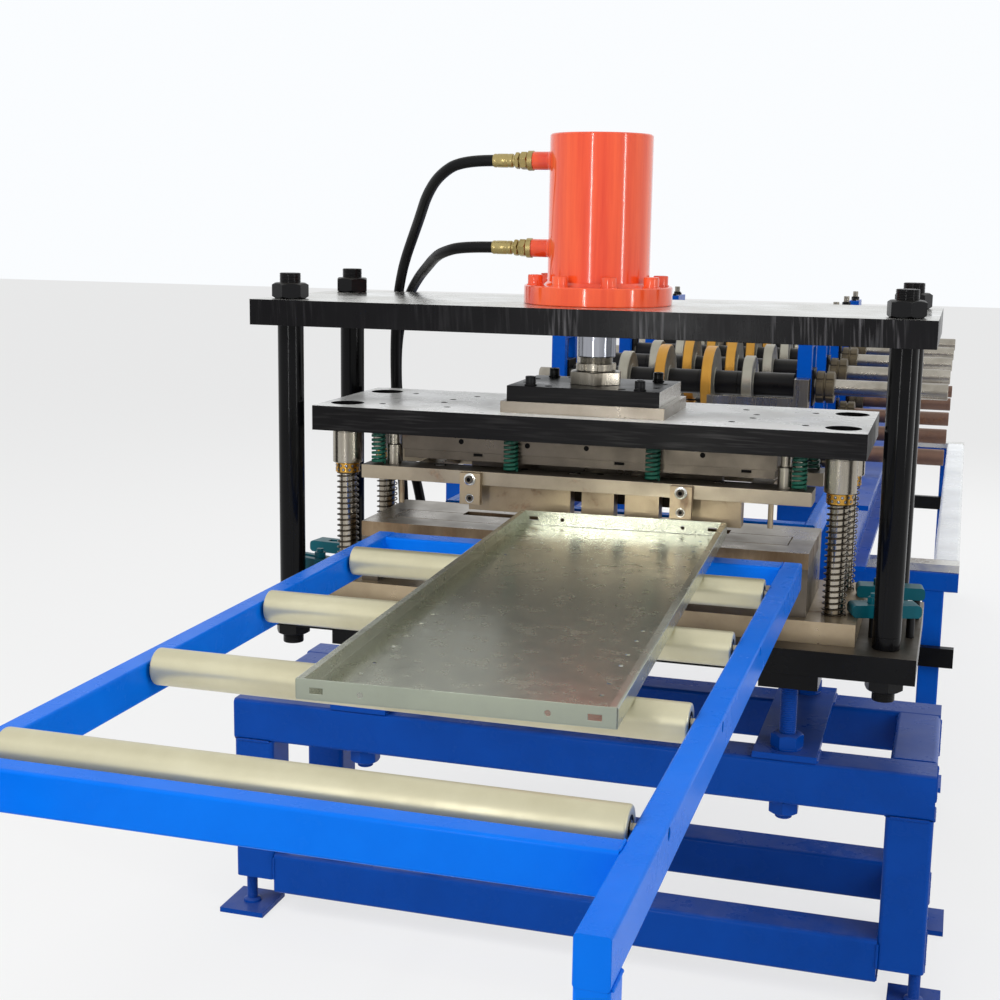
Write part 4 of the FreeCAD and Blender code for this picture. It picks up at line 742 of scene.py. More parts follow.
@dataclass
class Stock:
    """One piece of the scene while it is made: faces in millimetres about the press.

    Attributes:
        name: Name of the piece.
        coats: Its finishes, in the order of the slot numbers.
        mesh: Its faces so far.
    """

    name: str
    coats: list[Coat]
    mesh: bmesh.types.BMesh = field(default_factory=bmesh.new)

    def _skin(self, rows: list[list[bmesh.types.BMVert]], slot: int) -> None:
        """Join rings by faces.

        Args:
            rows: Rings of the same number of points, or single points.
            slot: Finish of the faces.
        """
        for low, high in zip(rows, rows[1:]):
            count = max(len(low), len(high))
            for i in range(count):
                j = (i + 1) % count
                around = [low[i % len(low)], low[j % len(low)], high[j % len(high)], high[i % len(high)]]
                unique = list(dict.fromkeys(around))
                if len(unique) > 2:
                    self.mesh.faces.new(unique).material_index = slot

    def turned(self, origin: Point, axis: Point, rings: Rings, parts: int = 32, slot: int | list[int] = 0,
               turn: float = 0.0) -> None:
        """Add a turned piece.

        Args:
            origin: Start of its axis.
            axis: Direction of its axis.
            rings: Section, and place along the axis, one after another.
            parts: Points of a ring.
            slot: Finish, or the finish of each band between two rings.
            turn: Turn about the axis in degrees.
        """
        spin = Vector(UP).rotation_difference(Vector(axis).normalized())
        start = Vector(origin)
        rows: list[list[bmesh.types.BMVert]] = []
        for number, (section, along) in enumerate(rings):
            if number and number == len(rings) - 1 and (section, along) == rings[0]:
                rows.append(rows[0])
                continue
            if section == 0.0:
                rows.append([self.mesh.verts.new(start + spin @ Vector((0.0, 0.0, along)))])
                continue
            row = []
            for i in range(parts):
                angle = 2.0 * math.pi * i / parts
                radius, shift = section.at(angle) if not isinstance(section, float) else (section, 0.0)
                facing = angle + math.radians(turn)
                local = Vector((radius * math.cos(facing), radius * math.sin(facing), along + shift))
                row.append(self.mesh.verts.new(start + spin @ local))
            rows.append(row)
        for number, pair in enumerate(zip(rows, rows[1:])):
            self._skin(list(pair), slot[number] if isinstance(slot, list) else slot)

    def bar(self, low: Point, high: Point, edge: float, slot: int = 0) -> None:
        """Add a block with broken edges.

        Args:
            low: Lowest corner.
            high: Highest corner.
            edge: Width of the broken edges.
            slot: Its finish.
        """
        size = Vector(high) - Vector(low)
        move = Matrix.Translation((Vector(high) + Vector(low)) / 2) @ Matrix.Diagonal((*size, 1.0))
        made = bmesh.ops.create_cube(self.mesh, size=1.0, matrix=move)
        faces = list(dict.fromkeys(face for vert in made["verts"] for face in vert.link_faces))
        if edge:
            edges = list(dict.fromkeys(side for face in faces for side in face.edges))
            bevel = bmesh.ops.bevel(self.mesh, geom=edges, offset=edge, segments=2, affect="EDGES", profile=0.5,
                                    clamp_overlap=True)
            faces = [face for face in faces if face.is_valid] + bevel["faces"]
        for face in faces:
            face.material_index = slot

    def _ends(self, rows: list[list[bmesh.types.BMVert]], slot: int) -> None:
        """Close both ends of a row of rings."""
        for ring in (rows[0][::-1], rows[-1]):
            self.mesh.faces.new(ring).material_index = slot

    def swept(self, path: list[Point], section: list[tuple[float, float]], slot: int = 0,
              swell: list[float] | None = None) -> None:
        """Draw a section along a path.

        Args:
            path: Points of the path.
            section: Closed outline across and above the path.
            slot: Its finish.
            swell: Scale of the section at each point.
        """
        points = [Vector(point) for point in path]
        side = Vector(UP)
        rows = []
        for i, point in enumerate(points):
            ahead = (points[min(i + 1, len(points) - 1)] - points[max(i - 1, 0)]).normalized()
            if abs(ahead.dot(side)) > 0.95:
                side = Vector(RIGHT) if abs(ahead.x) < 0.9 else -Vector(FRONT)
            across = ahead.cross(side).normalized()
            side = across.cross(ahead).normalized()
            scale = swell[i] if swell else 1.0
            rows.append([self.mesh.verts.new(point + (across * u + side * v) * scale) for u, v in section])
        self._skin(rows, slot)
        self._ends(rows, slot)

    def bead(self, start: Point, end: Point, radius: float, seed: int) -> None:
        """Add a weld bead with its ripples.

        Args:
            start: One end.
            end: Other end.
            radius: Half its width.
            seed: Seed of its unevenness.
        """
        chance = random.Random(seed)
        run = Vector(end) - Vector(start)
        count = max(4, int(run.length / (radius * 0.7)))
        path = []
        swell = []
        for i in range(count + 1):
            wander = Vector([chance.uniform(-1, 1) for _ in range(3)]) * radius * 0.08
            path.append(tuple(Vector(start) + run * (i / count) + wander))
            ripple = (1.0 if i % 2 else 0.84) * (0.6 if i in (0, count) else 1.0)
            swell.append(ripple * chance.uniform(0.94, 1.06))
        ring = [(radius * math.cos(a * math.pi / 4), radius * math.sin(a * math.pi / 4)) for a in range(8)]
        self.swept(path, ring, 0, swell)

    def coil(self, x: float, y: float, radius: float, low: float, high: float, turns: float,
             wire: tuple[float, float], parts: int = 24, ends: float = 1.0) -> None:
        """Add a coil spring about an upright axis, with closed ground ends.

        Args:
            x: Place of the axis across the line.
            y: Place of the axis along the line.
            radius: Radius of the middle of the wire.
            low: Height of its lower end.
            high: Height of its upper end.
            turns: Number of turns.
            wire: Width of the wire across and along the axis.
            parts: Points of a turn.
            ends: Closed turns at each end.
        """
        half_w, half_h = wire[0] / 2, wire[1] / 2
        level, inset = 0.28 * half_h, half_w * 0.6
        shape = [(half_w, -half_h + level), (half_w, half_h - level), (inset, half_h), (-inset, half_h),
                 (-half_w, half_h - level), (-half_w, -half_h + level), (-inset, -half_h), (inset, -half_h)]
        count = int(turns * parts)
        rise = high - low - wire[1]
        flat = ends * 0.9 * wire[1]
        rows = []
        for i in range(count + 1):
            turn = i / parts
            if turn < ends:
                climb = flat * turn / ends
            elif turn > turns - ends:
                climb = rise - flat * (turns - turn) / ends
            else:
                climb = flat + (rise - 2 * flat) * (turn - ends) / (turns - 2 * ends)
            angle = 2 * math.pi * turn
            out = Vector((math.cos(angle), math.sin(angle), 0.0))
            middle = Vector((x, y, low + wire[1] / 2 + climb))
            rows.append([self.mesh.verts.new(middle + out * (radius + u) + Vector((0.0, 0.0, v)))
                         for u, v in shape])
        self._skin(rows, 0)
        self._ends(rows, 0)

    def cap_screw(self, seat: Point, axis: Point, radius: float, height: float, slot: int,
                  socket: int) -> None:
        """Add the head of a socket cap screw.

        Args:
            seat: Where its head sits.
            axis: Way the head points.
            radius: Radius of the head.
            height: Height of the head.
            slot: Its finish.
            socket: Finish of the socket's walls and bottom, dark as painted shadow.
        """
        key = Hex(radius)
        rings: Rings = [(radius, 0.0), (radius, height * 0.9), (radius * 0.93, height),
                        (radius * 0.68, height), (key, height * 0.94), (key, height * 0.45), (0.0, height * 0.4)]
        self.turned(seat, axis, rings, 24, [slot] * 4 + [socket] * 2)

    def nut(self, seat: Point, axis: Point, flats: float, height: float, bore: float, turn: float) -> None:
        """Add a nut with chamfered corners, around its bolt.

        Args:
            seat: Middle of its seat.
            axis: Way it points.
            flats: Width across the flats.
            height: Its height.
            bore: Radius of its bore.
            turn: Turn about its axis in degrees.
        """
        corner, rim = flats * 0.02, flats * 0.47
        rings: Rings = [(bore, 0.0), (rim, 0.0), (Hex(flats, -0.6), corner), (Hex(flats, 0.6), height - corner),
                        (rim, height), (bore * 1.1, height), (bore, height - 2.0)]
        self.turned(seat, axis, rings, 48, 0, turn)

    def thread(self, seat: Point, axis: Point, radius: float, length: float, pitch: float, slot: int = 0,
               tip: bool = True) -> None:
        """Add a threaded end.

        Args:
            seat: Where the thread starts.
            axis: Way it runs.
            radius: Outer radius.
            length: Length of the thread.
            pitch: Pitch of the thread.
            slot: Its finish.
            tip: Whether its end is closed by a chamfered tip.
        """
        depth = pitch * 0.45
        rings: Rings = []
        for i in range(max(1, int(length / pitch))):
            rings += [(radius - depth, i * pitch), (radius, (i + 0.35) * pitch), (radius, (i + 0.6) * pitch)]
        if tip:
            rings += [(radius - depth, length - pitch * 0.3), (radius - depth * 1.6, length), (0.0, length)]
        self.turned(seat, axis, rings, 32, slot)

    def flat(self) -> bpy.types.Mesh:
        """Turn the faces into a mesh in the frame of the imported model.

        Returns:
            The mesh.
        """
        bmesh.ops.recalc_face_normals(self.mesh, faces=self.mesh.faces)
        for vert in self.mesh.verts:
            vert.co = placed(tuple(vert.co))
        for face in self.mesh.faces:
            face.smooth = True
        data = bpy.data.meshes.new(self.name)
        self.mesh.to_mesh(data)
        self.mesh.free()
        return data

    def done(self, body: str, *stands_for: str, smooth: float = 38.0, far_body: str | None = None,
             between: tuple[float, float] = (0.0, 0.0)) -> bpy.types.Object:
        """Finish the piece and hang it on its body, or leave a spring unattached with its place baked in.

        Args:
            body: Body that it moves with.
            *stands_for: CAD nodes that it replaces.
            smooth: Angle in degrees above which an edge stays sharp.
            far_body: Given for a spring, which is then left unattached with its place baked in; the body it names
                is not used.
            between: Heights of the two ends of a spring; not used.

        Returns:
            The object.
        """
        data = self.flat()
        data.set_sharp_from_angle(angle=math.radians(smooth))
        for coat in self.coats:
            data.materials.append(coat.material)
        piece = show(self.name, data)
        if far_body is None:
            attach(piece, body)
        else:
            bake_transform(piece)
        if stands_for:
            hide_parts(*stands_for)
        LOG.info("%s: %d faces on %s", self.name, len(data.polygons), body)
        return piece


def dress(coat: Coat | Faced, *nodes: str) -> None:
    """Give CAD nodes a finish.

    Args:
        coat: The finish.
        *nodes: Names of the nodes.
    """
    for name in nodes:
        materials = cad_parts[name].data.materials
        if not len(materials):
            materials.append(coat.material)
        for i in range(len(materials)):
            materials[i] = coat.material


@dataclass
class Hose:
    """A pressure hose from a cylinder port to its bulkhead coupling.

    Attributes:
        name: Name of the hose.
        node: CAD node that it replaces.
        route: Control points of its line, in metres.
        length: Its length in metres.
        diameter: Its outer diameter in metres.
    """

    name: str
    node: str
    route: list[Point]
    length: float
    diameter: float = 0.026

    def build(self) -> None:
        """Lay the hose along its line."""
        curve = bpy.data.curves.new(self.name, "CURVE")
        curve.dimensions = "3D"
        curve.bevel_depth = self.diameter / 2
        curve.bevel_resolution = 6
        curve.resolution_u = 16
        curve.use_fill_caps = True
        line = curve.splines.new("NURBS")
        line.points.add(len(self.route) - 1)
        for point, place in zip(line.points, self.route):
            point.co = (place[0], place[1] - LINE_MIDDLE * MILLI, place[2], 1.0)
        line.order_u = 3
        line.use_endpoint_u = True
        curve.materials.append(Coat.RUBBER.material)
        hose = show(self.name, curve)
        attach(hose, "frame")
        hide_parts(self.node)
        LOG.info("%s: %.3f m", self.name, self.length)


HOSES = [
    Hose("upper_pressure_hose", "hose_upper",
         [(-0.253, -0.025, 1.817), (-0.330, -0.025, 1.817), (-0.395, 0.005, 1.785), (-0.445, 0.060, 1.740),
          (-0.485, 0.125, 1.690), (-0.525, 0.190, 1.645), (-0.569, 0.250, 1.584), (-0.597, 0.292, 1.534),
          (-0.616, 0.318, 1.474), (-0.625, 0.328, 1.395), (-0.627, 0.330, 1.316), (-0.624, 0.330, 1.210),
          (-0.612, 0.330, 1.070), (-0.600, 0.330, 0.950), (-0.600, 0.330, 0.830)], 1.299),
    Hose("lower_pressure_hose", "hose_lower",
         [(-0.253, -0.025, 1.621), (-0.328, -0.025, 1.621), (-0.390, 0.015, 1.606), (-0.436, 0.090, 1.590),
          (-0.483, 0.172, 1.566), (-0.534, 0.262, 1.541), (-0.580, 0.328, 1.503), (-0.617, 0.366, 1.447),
          (-0.638, 0.384, 1.378), (-0.645, 0.390, 1.306), (-0.641, 0.388, 1.204), (-0.612, 0.384, 1.080),
          (-0.570, 0.364, 0.965), (-0.545, 0.330, 0.890), (-0.545, 0.330, 0.830)], 1.248),
]


@dataclass
class BaseFrame:
    """Welded base frame of the press: its weld beads, levelling screws and jacking screws.

    Attributes:
        half: Half its width.
        back: Half its depth.
        tube: Side of its square tube.
        top: Height of its top.
        leg_foot: Height of the foot of its legs.
        low_top: Height of the top of the lower rails.
        jack_x: Place of the jacking screws across the line.
        jack_y: Place of the jacking screws along the line.
        jack_r: Radius of the jacking screws.
        jack_top: Height of their upper end.
        jack_foot: Height of their lower end.
        jack_flats: Width of their nuts across the flats.
        jack_nut: Height of their nuts.
        bar_half: Half the width of the bars under the jacking screws.
        bar_thick: Their thickness.
        foot_x: Place of the levelling screws across the line.
        foot_top: Height of their foot plates.
        bead_r: Half the width of a weld bead.
    """

    half: float = 813.0
    back: float = 265.0
    tube: float = 100.0
    top: float = 545.0
    leg_foot: float = 96.0
    low_top: float = 162.0
    jack_x: float = 494.0
    jack_y: float = 215.0
    jack_r: float = 18.5
    jack_top: float = 706.0
    jack_foot: float = 399.0
    jack_flats: float = 62.0
    jack_nut: float = 34.0
    bar_half: float = 69.0
    bar_thick: float = 14.0
    foot_x: float = 795.0
    foot_top: float = 12.0
    bead_r: float = 3.6

    def build(self) -> None:
        """Build every piece of the base frame."""
        self.welds()
        self.feet()
        self.jacks()

    def welds(self) -> None:
        """Lay the weld beads where legs and rails meet."""
        stock = Stock("base_weld_beads", [Coat.FRAME_BLUE])
        seeds = itertools.count(1)
        for sx, sy in corners(1, 1):
            self._corner(stock, sx, sy, seeds)
        for x in (-self.jack_x, self.jack_x):
            for sx, sy in corners(1, 1):
                edge, z = x + sx * self.bar_half, self.top + 1
                stock.bead((edge, sy * (self.back - 6), z), (edge, sy * (self.back - 90), z), 4.2, next(seeds))
        stock.done("frame")

    def _corner(self, stock: Stock, sx: int, sy: int, seeds: Iterator[int]) -> None:
        """Weld one corner of the frame.

        Args:
            stock: The beads so far.
            sx: Side across the line.
            sy: Side along the line.
            seeds: Seeds of the beads.
        """
        under = self.top - self.tube
        wide, inner = sx * self.half, sx * (self.half - self.tube)
        face, inside = sy * self.back, sy * (self.back - self.tube)
        low, low_under = self.low_top - 8, self.low_top - self.tube + 8
        for y in (face, inside):
            stock.bead((inner + sx * 8, y, under), (wide - sx * 8, y, under), self.bead_r, next(seeds))
        for x in (wide, inner):
            stock.bead((x, face - sy * 8, under), (x, inside + sy * 8, under), self.bead_r, next(seeds))
        for z in (self.low_top, self.low_top - self.tube + 4):
            stock.bead((inner, face - sy * 9, z), (inner, inside + sy * 9, z), self.bead_r, next(seeds))
        stock.bead((inner, face, low), (inner, face, self.leg_foot + 2), self.bead_r, next(seeds))
        for x in (wide, inner):
            seed = next(seeds)
            stock.bead((x, inside, self.top - 8), (x, inside, under + 8), self.bead_r, seed)
            stock.bead((x, inside, low), (x, inside, low_under), self.bead_r, seed + 50)

    def feet(self) -> None:
        """Cut the threads of the levelling screws."""
        stock = Stock("levelling_threads", [Coat.FRAME_BLUE])
        for x, y in corners(self.foot_x, self.jack_y):
            stock.thread((x, y, self.foot_top), UP, 13.1, 68.0, 3.2, tip=False)
            stock.turned((x, y, self.foot_top), UP, [(22.0, 0.0), (21.0, 5.0), (15.0, 8.0), (13.0, 8.5)])
        stock.done("frame")

    def jacks(self) -> None:
        """Make the jacking screws with their nuts and washers."""
        stock = Stock("jacking_screws", [Coat.FRAME_BLUE, Coat.NUT_BLACK])
        under = self.top - self.tube
        seat = self.top + self.bar_thick
        r, nut = self.jack_r, (self.jack_flats, self.jack_nut, self.jack_r - 1.0)
        for x, y in corners(self.jack_x, self.jack_y):
            stock.thread((x, y, self.jack_foot), UP, r, self.jack_top - self.jack_foot, 5.0)
            stock.turned((x, y, self.jack_foot), UP, [(0.0, 0.0), (r - 3, 0.0), (r - 1.5, 2.0)])
            stock.nut((x, y, seat), UP, *nut, 14.0 + x * 0.05)
            stock.nut((x, y, under - self.jack_nut), UP, *nut, 40.0 - y * 0.1)
            stock.turned((x, y, seat), UP, [(19.5, 0.0), (34.5, 0.0), (34.5, 3.0), (19.5, 3.4)], 36)
            stock.turned((x, y, self.jack_top - 9.0), UP, [(18.0, 0.0), (25.0, 2.0), (30.0, 9.0)])
        stock.done("frame", "jack_bolts")


@dataclass
class PressFrame:
    """Columns of the press, with the nuts and threads at both ends.

    Attributes:
        column_x: Place of the columns across the line.
        column_y: Place of the columns along the line.
        column_r: Radius of the columns.
        stub_r: Radius of their threaded stubs.
        stub_low: Height of the lower stubs' ends.
        stub_high: Height of the upper stubs' ends.
        flats: Width of their nuts across the flats.
        nut: Height of their nuts.
        top: Height of the top platen's top.
        top_thick: Thickness of the top platen.
        under: Height of the bottom platen's underside.
        under_thick: Thickness of the bottom platen.
        proud: How far the stubs stand out of the nuts.
    """

    column_x: float = 690.0
    column_y: float = 188.0
    column_r: float = 30.0
    stub_r: float = 23.5
    stub_low: float = 680.0
    stub_high: float = 1556.0
    flats: float = 73.0
    nut: float = 36.0
    top: float = 1498.0
    top_thick: float = 58.0
    under: float = 738.0
    under_thick: float = 56.0
    proud: float = 22.0

    def build(self) -> None:
        """Turn the columns, and make the nuts and threads at both ends."""
        low, high = self.under + self.under_thick, self.top - self.top_thick
        r, stub = self.column_r, self.stub_r
        posts = Stock("turned_columns", [Coat.COLUMN_BLACK, Coat.NUT_BLACK])
        for x, y in corners(self.column_x, self.column_y):
            posts.turned((x, y, 0.0), UP, [
                (0.0, self.stub_low), (stub, self.stub_low), (stub, low - 0.1), (28.8, low + 0.1),
                (r, low + 1.4), (r, low + 26.0), (29.4, low + 26.6), (29.4, low + 28.4), (r, low + 29.0),
                (r, high - 1.4), (28.8, high - 0.1), (stub, high + 0.1), (stub, self.stub_high),
                (0.0, self.stub_high)], 64)
        posts.done("frame", "columns")
        stock = Stock("column_nuts_threaded", [Coat.NUT_BLACK])
        for number, x in enumerate((-self.column_x, self.column_x)):
            for y in (-self.column_y, self.column_y):
                turn = 9.0 + 17.0 * number + y * 0.06
                for height, way in ((self.top, UP), (self.under, DOWN)):
                    stock.nut((x, y, height), way, self.flats, self.nut, stub - 1.0, turn)
                    start = (x, y, height + way[2] * (self.nut - 2.0))
                    stock.thread(start, way, stub + 0.9, self.proud + 2.4, 3.4)
        stock.done("frame", "column_nuts")


@dataclass
class Cylinder:
    """Hydraulic cylinder: its barrel, flange screws, seams and hose couplings.

    Attributes:
        y: Place of its axis along the line.
        bore: Radius of the rod's bore in the flange.
        barrel_r: Radius of the barrel.
        barrel_top: Height of its top.
        flange_r: Radius of the flange.
        flange_low: Height of the flange's foot.
        flange_top: Height of the flange's top.
        screws: Number of flange screws.
        screw_circle: Radius of their circle.
        screw_r: Radius of their heads.
        ports: Heights of the two ports.
        sunk: How far the port bosses reach into the barrel.
        boss_x: End of the port bosses.
        boss_r: Radius of the port bosses.
    """

    y: float = -25.0
    bore: float = 45.1
    barrel_r: float = 116.0
    barrel_top: float = 1875.0
    flange_r: float = 169.0
    flange_low: float = 1498.0
    flange_top: float = 1540.0
    screws: int = 8
    screw_circle: float = 144.5
    screw_r: float = 17.0
    ports: tuple[float, float] = (1817.0, 1621.0)
    sunk: float = 6.0
    boss_x: float = -171.0
    boss_r: float = 20.5

    def build(self) -> None:
        """Build every piece of the cylinder."""
        self.barrel()
        self.flange()
        self.seams()
        self.couplings()

    def barrel(self) -> None:
        """Turn the flange and barrel, and stand the port bosses on its side."""
        stock = Stock("turned_cylinder", [Coat.CYLINDER_RED])
        low, mid, top = self.flange_low, self.flange_top, self.barrel_top
        r, far, boss = self.barrel_r, self.flange_r, self.boss_r
        stock.turned((0.0, self.y, 0.0), UP, [
            (self.bore, low), (far - 2.0, low), (far, low + 2.0), (far, mid - 2.5), (far - 2.5, mid), (r, mid),
            (r, top - 3.0), (r - 3.0, top), (r - 24.0, top), (r - 25.0, top - 1.5), (0.0, top - 1.5)], 128)
        end = -self.boss_x - r + self.sunk
        for z in self.ports:
            stock.turned((-r + self.sunk, self.y, z), LEFT, [
                (boss, 0.0), (boss, end - 2.0), (boss - 2.0, end), (12.0, end)], 40)
        stock.done("frame", "cylinder_barrel")

    def flange(self) -> None:
        """Set the cap screws round the flange."""
        stock = Stock("flange_cap_screws", [Coat.CYLINDER_RED, Coat.NUT_BLACK])
        washer = self.screw_r + 2.4
        for i in range(self.screws):
            angle = 2 * math.pi * (i + 0.5) / self.screws
            x = self.screw_circle * math.cos(angle)
            y = self.y + self.screw_circle * math.sin(angle)
            stock.cap_screw((x, y, self.flange_top + 2.0), UP, self.screw_r, 21.0, 0, 1)
            stock.turned((x, y, self.flange_top), UP, [(washer, 0.0), (washer, 2.0), (self.screw_r - 1.0, 2.4)], 40)
        stock.done("frame")

    def seams(self) -> None:
        """Run the weld fillets round the barrel's foot and the port bosses."""
        stock = Stock("cylinder_seams", [Coat.CYLINDER_RED, Coat.NUT_BLACK])
        r, boss = self.barrel_r, self.boss_r
        stock.turned((0.0, self.y, self.flange_top), UP, [
            (r - 1, 9.0), (r + 2.4, 7.2), (r + 5.6, 3.2), (r + 8.6, -0.5)], 96)
        for z in self.ports:
            stock.turned((-r + self.sunk, self.y, z), LEFT, [
                (boss + 6.0, 0.0), (boss + 5.4, 4.0), (boss + 2.6, 8.0), (boss - 0.2, 11.0)], 40)
        stock.done("frame")

    def couplings(self) -> None:
        """Screw the hose couplings into the ports."""
        stock = Stock("port_couplings", [Coat.ZINC_YELLOW, Coat.RUBBER])
        socket, union = 36.0, 34.0
        rings: Rings = [
            (0.0, -3.0), (14.0, -3.0), (14.0, 0.2), (17.0, 0.4), (Hex(socket, -0.6), 1.0),
            (Hex(socket, 0.6), 15.6), (16.6, 16.0), (13.2, 16.4), (13.2, 18.6), (15.6, 19.0),
            (Hex(union, -0.6), 19.6), (Hex(union, 0.6), 28.4), (15.6, 29.0), (12.6, 29.6), (12.6, 34.0),
            (14.8, 34.6), (15.6, 36.0), (15.6, 44.0), (14.9, 45.0), (14.9, 47.0), (15.6, 48.0), (15.6, 71.0),
            (14.9, 72.0), (14.9, 74.0), (15.4, 75.0), (15.4, 79.0), (14.0, 81.6), (12.6, 81.8), (0.0, 81.8)]
        ring: Rings = [(20.6, -2.0), (22.4, -1.4), (22.4, 10.0), (20.8, 11.2), (12.0, 11.9)]
        for z in self.ports:
            stock.turned((self.boss_x, self.y, z), LEFT, rings, 48, 0, 11.0)
            stock.turned((self.boss_x + 12.0, self.y, z), LEFT, ring, 48)
        stock.done("frame", "port_fittings")


@dataclass
class Ram:
    """What the cylinder drives: the rod, its nuts and the screws of the adapter plates.

    Attributes:
        plate_top: Height of the adapter plate.
        y: Place of its middle along the line.
        screw_x: Place of its screws across the line, from its middle.
        screw_y: Place of its screws along the line, from its middle.
        tapped: Places of its tapped holes, from its middle.
        foot_flats: Width of the foot nut across the flats.
        nut_r: Radius of the round nut.
        nut_low: Height of the round nut's foot.
        nut_high: Height of its top.
        neck_r: Radius of the threaded neck.
        rod_r: Radius of the rod.
        rod_low: Height of the rod's foot.
        piston_r: Radius of the piston.
        piston_low: Height of its foot.
        piston_high: Height of its top.
    """

    plate_top: float = 1316.0
    y: float = -25.0
    screw_x: float = 126.0
    screw_y: float = 106.0
    tapped: tuple[tuple[float, float], ...] = ((84.0, 104.0), (152.0, 44.0))
    foot_flats: float = 112.0
    nut_r: float = 46.0
    nut_low: float = 1346.0
    nut_high: float = 1364.0
    neck_r: float = 38.0
    rod_r: float = 44.5
    rod_low: float = 1378.0
    piston_r: float = 94.7
    piston_low: float = 1677.5
    piston_high: float = 1737.5

    def build(self) -> None:
        """Build every piece on the ram."""
        self.adapter()
        self.rod()

    def adapter(self) -> None:
        """Set the cap screws of the adapter plates, and mark the tapped holes between them as shallow dishes with
        dark painted shadow inside.
        """
        stock = Stock("adapter_cap_screws", [Coat.NUT_BLACK, Coat.SOCKET_DARK, Coat.GROUND])
        washer: Rings = [(8.0, 0.0), (14.0, 0.0), (14.0, 2.6), (11.8, 3.0), (11.8, 5.2), (12.6, 5.4)]
        hole: Rings = [(9.5, 0.1), (9.0, 0.5), (7.8, 0.3), (0.0, 0.2)]
        for sx, sy in corners(1, 1):
            x, y = sx * self.screw_x, self.y + sy * self.screw_y
            stock.turned((x, y, self.plate_top), UP, washer)
            stock.cap_screw((x, y, self.plate_top + 5.0), UP, 12.0, 16.0, 0, 1)
            for off_x, off_y in self.tapped:
                seat = (sx * off_x, self.y + sy * off_y, self.plate_top)
                stock.turned(seat, UP, hole, 28, [2, 1, 1])
        stock.done("ram")

    def rod(self) -> None:
        """Turn the rod with its piston, threaded neck, slotted round nut and hexagonal foot nut."""
        stock = Stock("turned_rod", [Coat.CHROME, Coat.GROUND, Coat.NUT_BLACK, Coat.TURNED_STEEL])
        foot, seat, low, high = self.plate_top, (0.0, self.y, 0.0), self.nut_low, self.nut_high
        flats, r, neck_r, root = self.foot_flats, self.rod_r, self.neck_r, self.neck_r - 1.4
        chrome, steel = 0, 3
        stock.turned(seat, UP, [
            (0.0, foot), (54.0, foot), (Hex(flats), foot + 0.6), (Hex(flats, 0.22), foot + 29.4),
            (54.0, foot + 29.8), (40.0, foot + 30.0)], 96, steel, 10.0)
        slots = Slotted(self.nut_r, 7.0, 4, 44.0)
        stock.turned(seat, UP, [(34.0, low), (38.4, low), (slots, low + 1.0), (slots, high - 1.0), (38.4, high),
                                (34.0, high)], 144, steel, -93.3)
        neck: Rings = []
        for i in range(5):
            start = high + i * 2.8
            neck += [(root, start), (neck_r, start + 1.0), (neck_r, start + 1.8)]
        stock.turned(seat, UP, neck + [(root, high + 14.0)], 64, steel)
        stock.turned(seat, UP, [
            (36.0, self.rod_low), (r - 2.0, self.rod_low), (r, self.rod_low + 2.0), (r, self.piston_low),
            (self.piston_r, self.piston_low), (self.piston_r, self.piston_high), (0.0, self.piston_high)],
            96, chrome)
        stock.done("ram", "piston_rod", smooth=20.0)


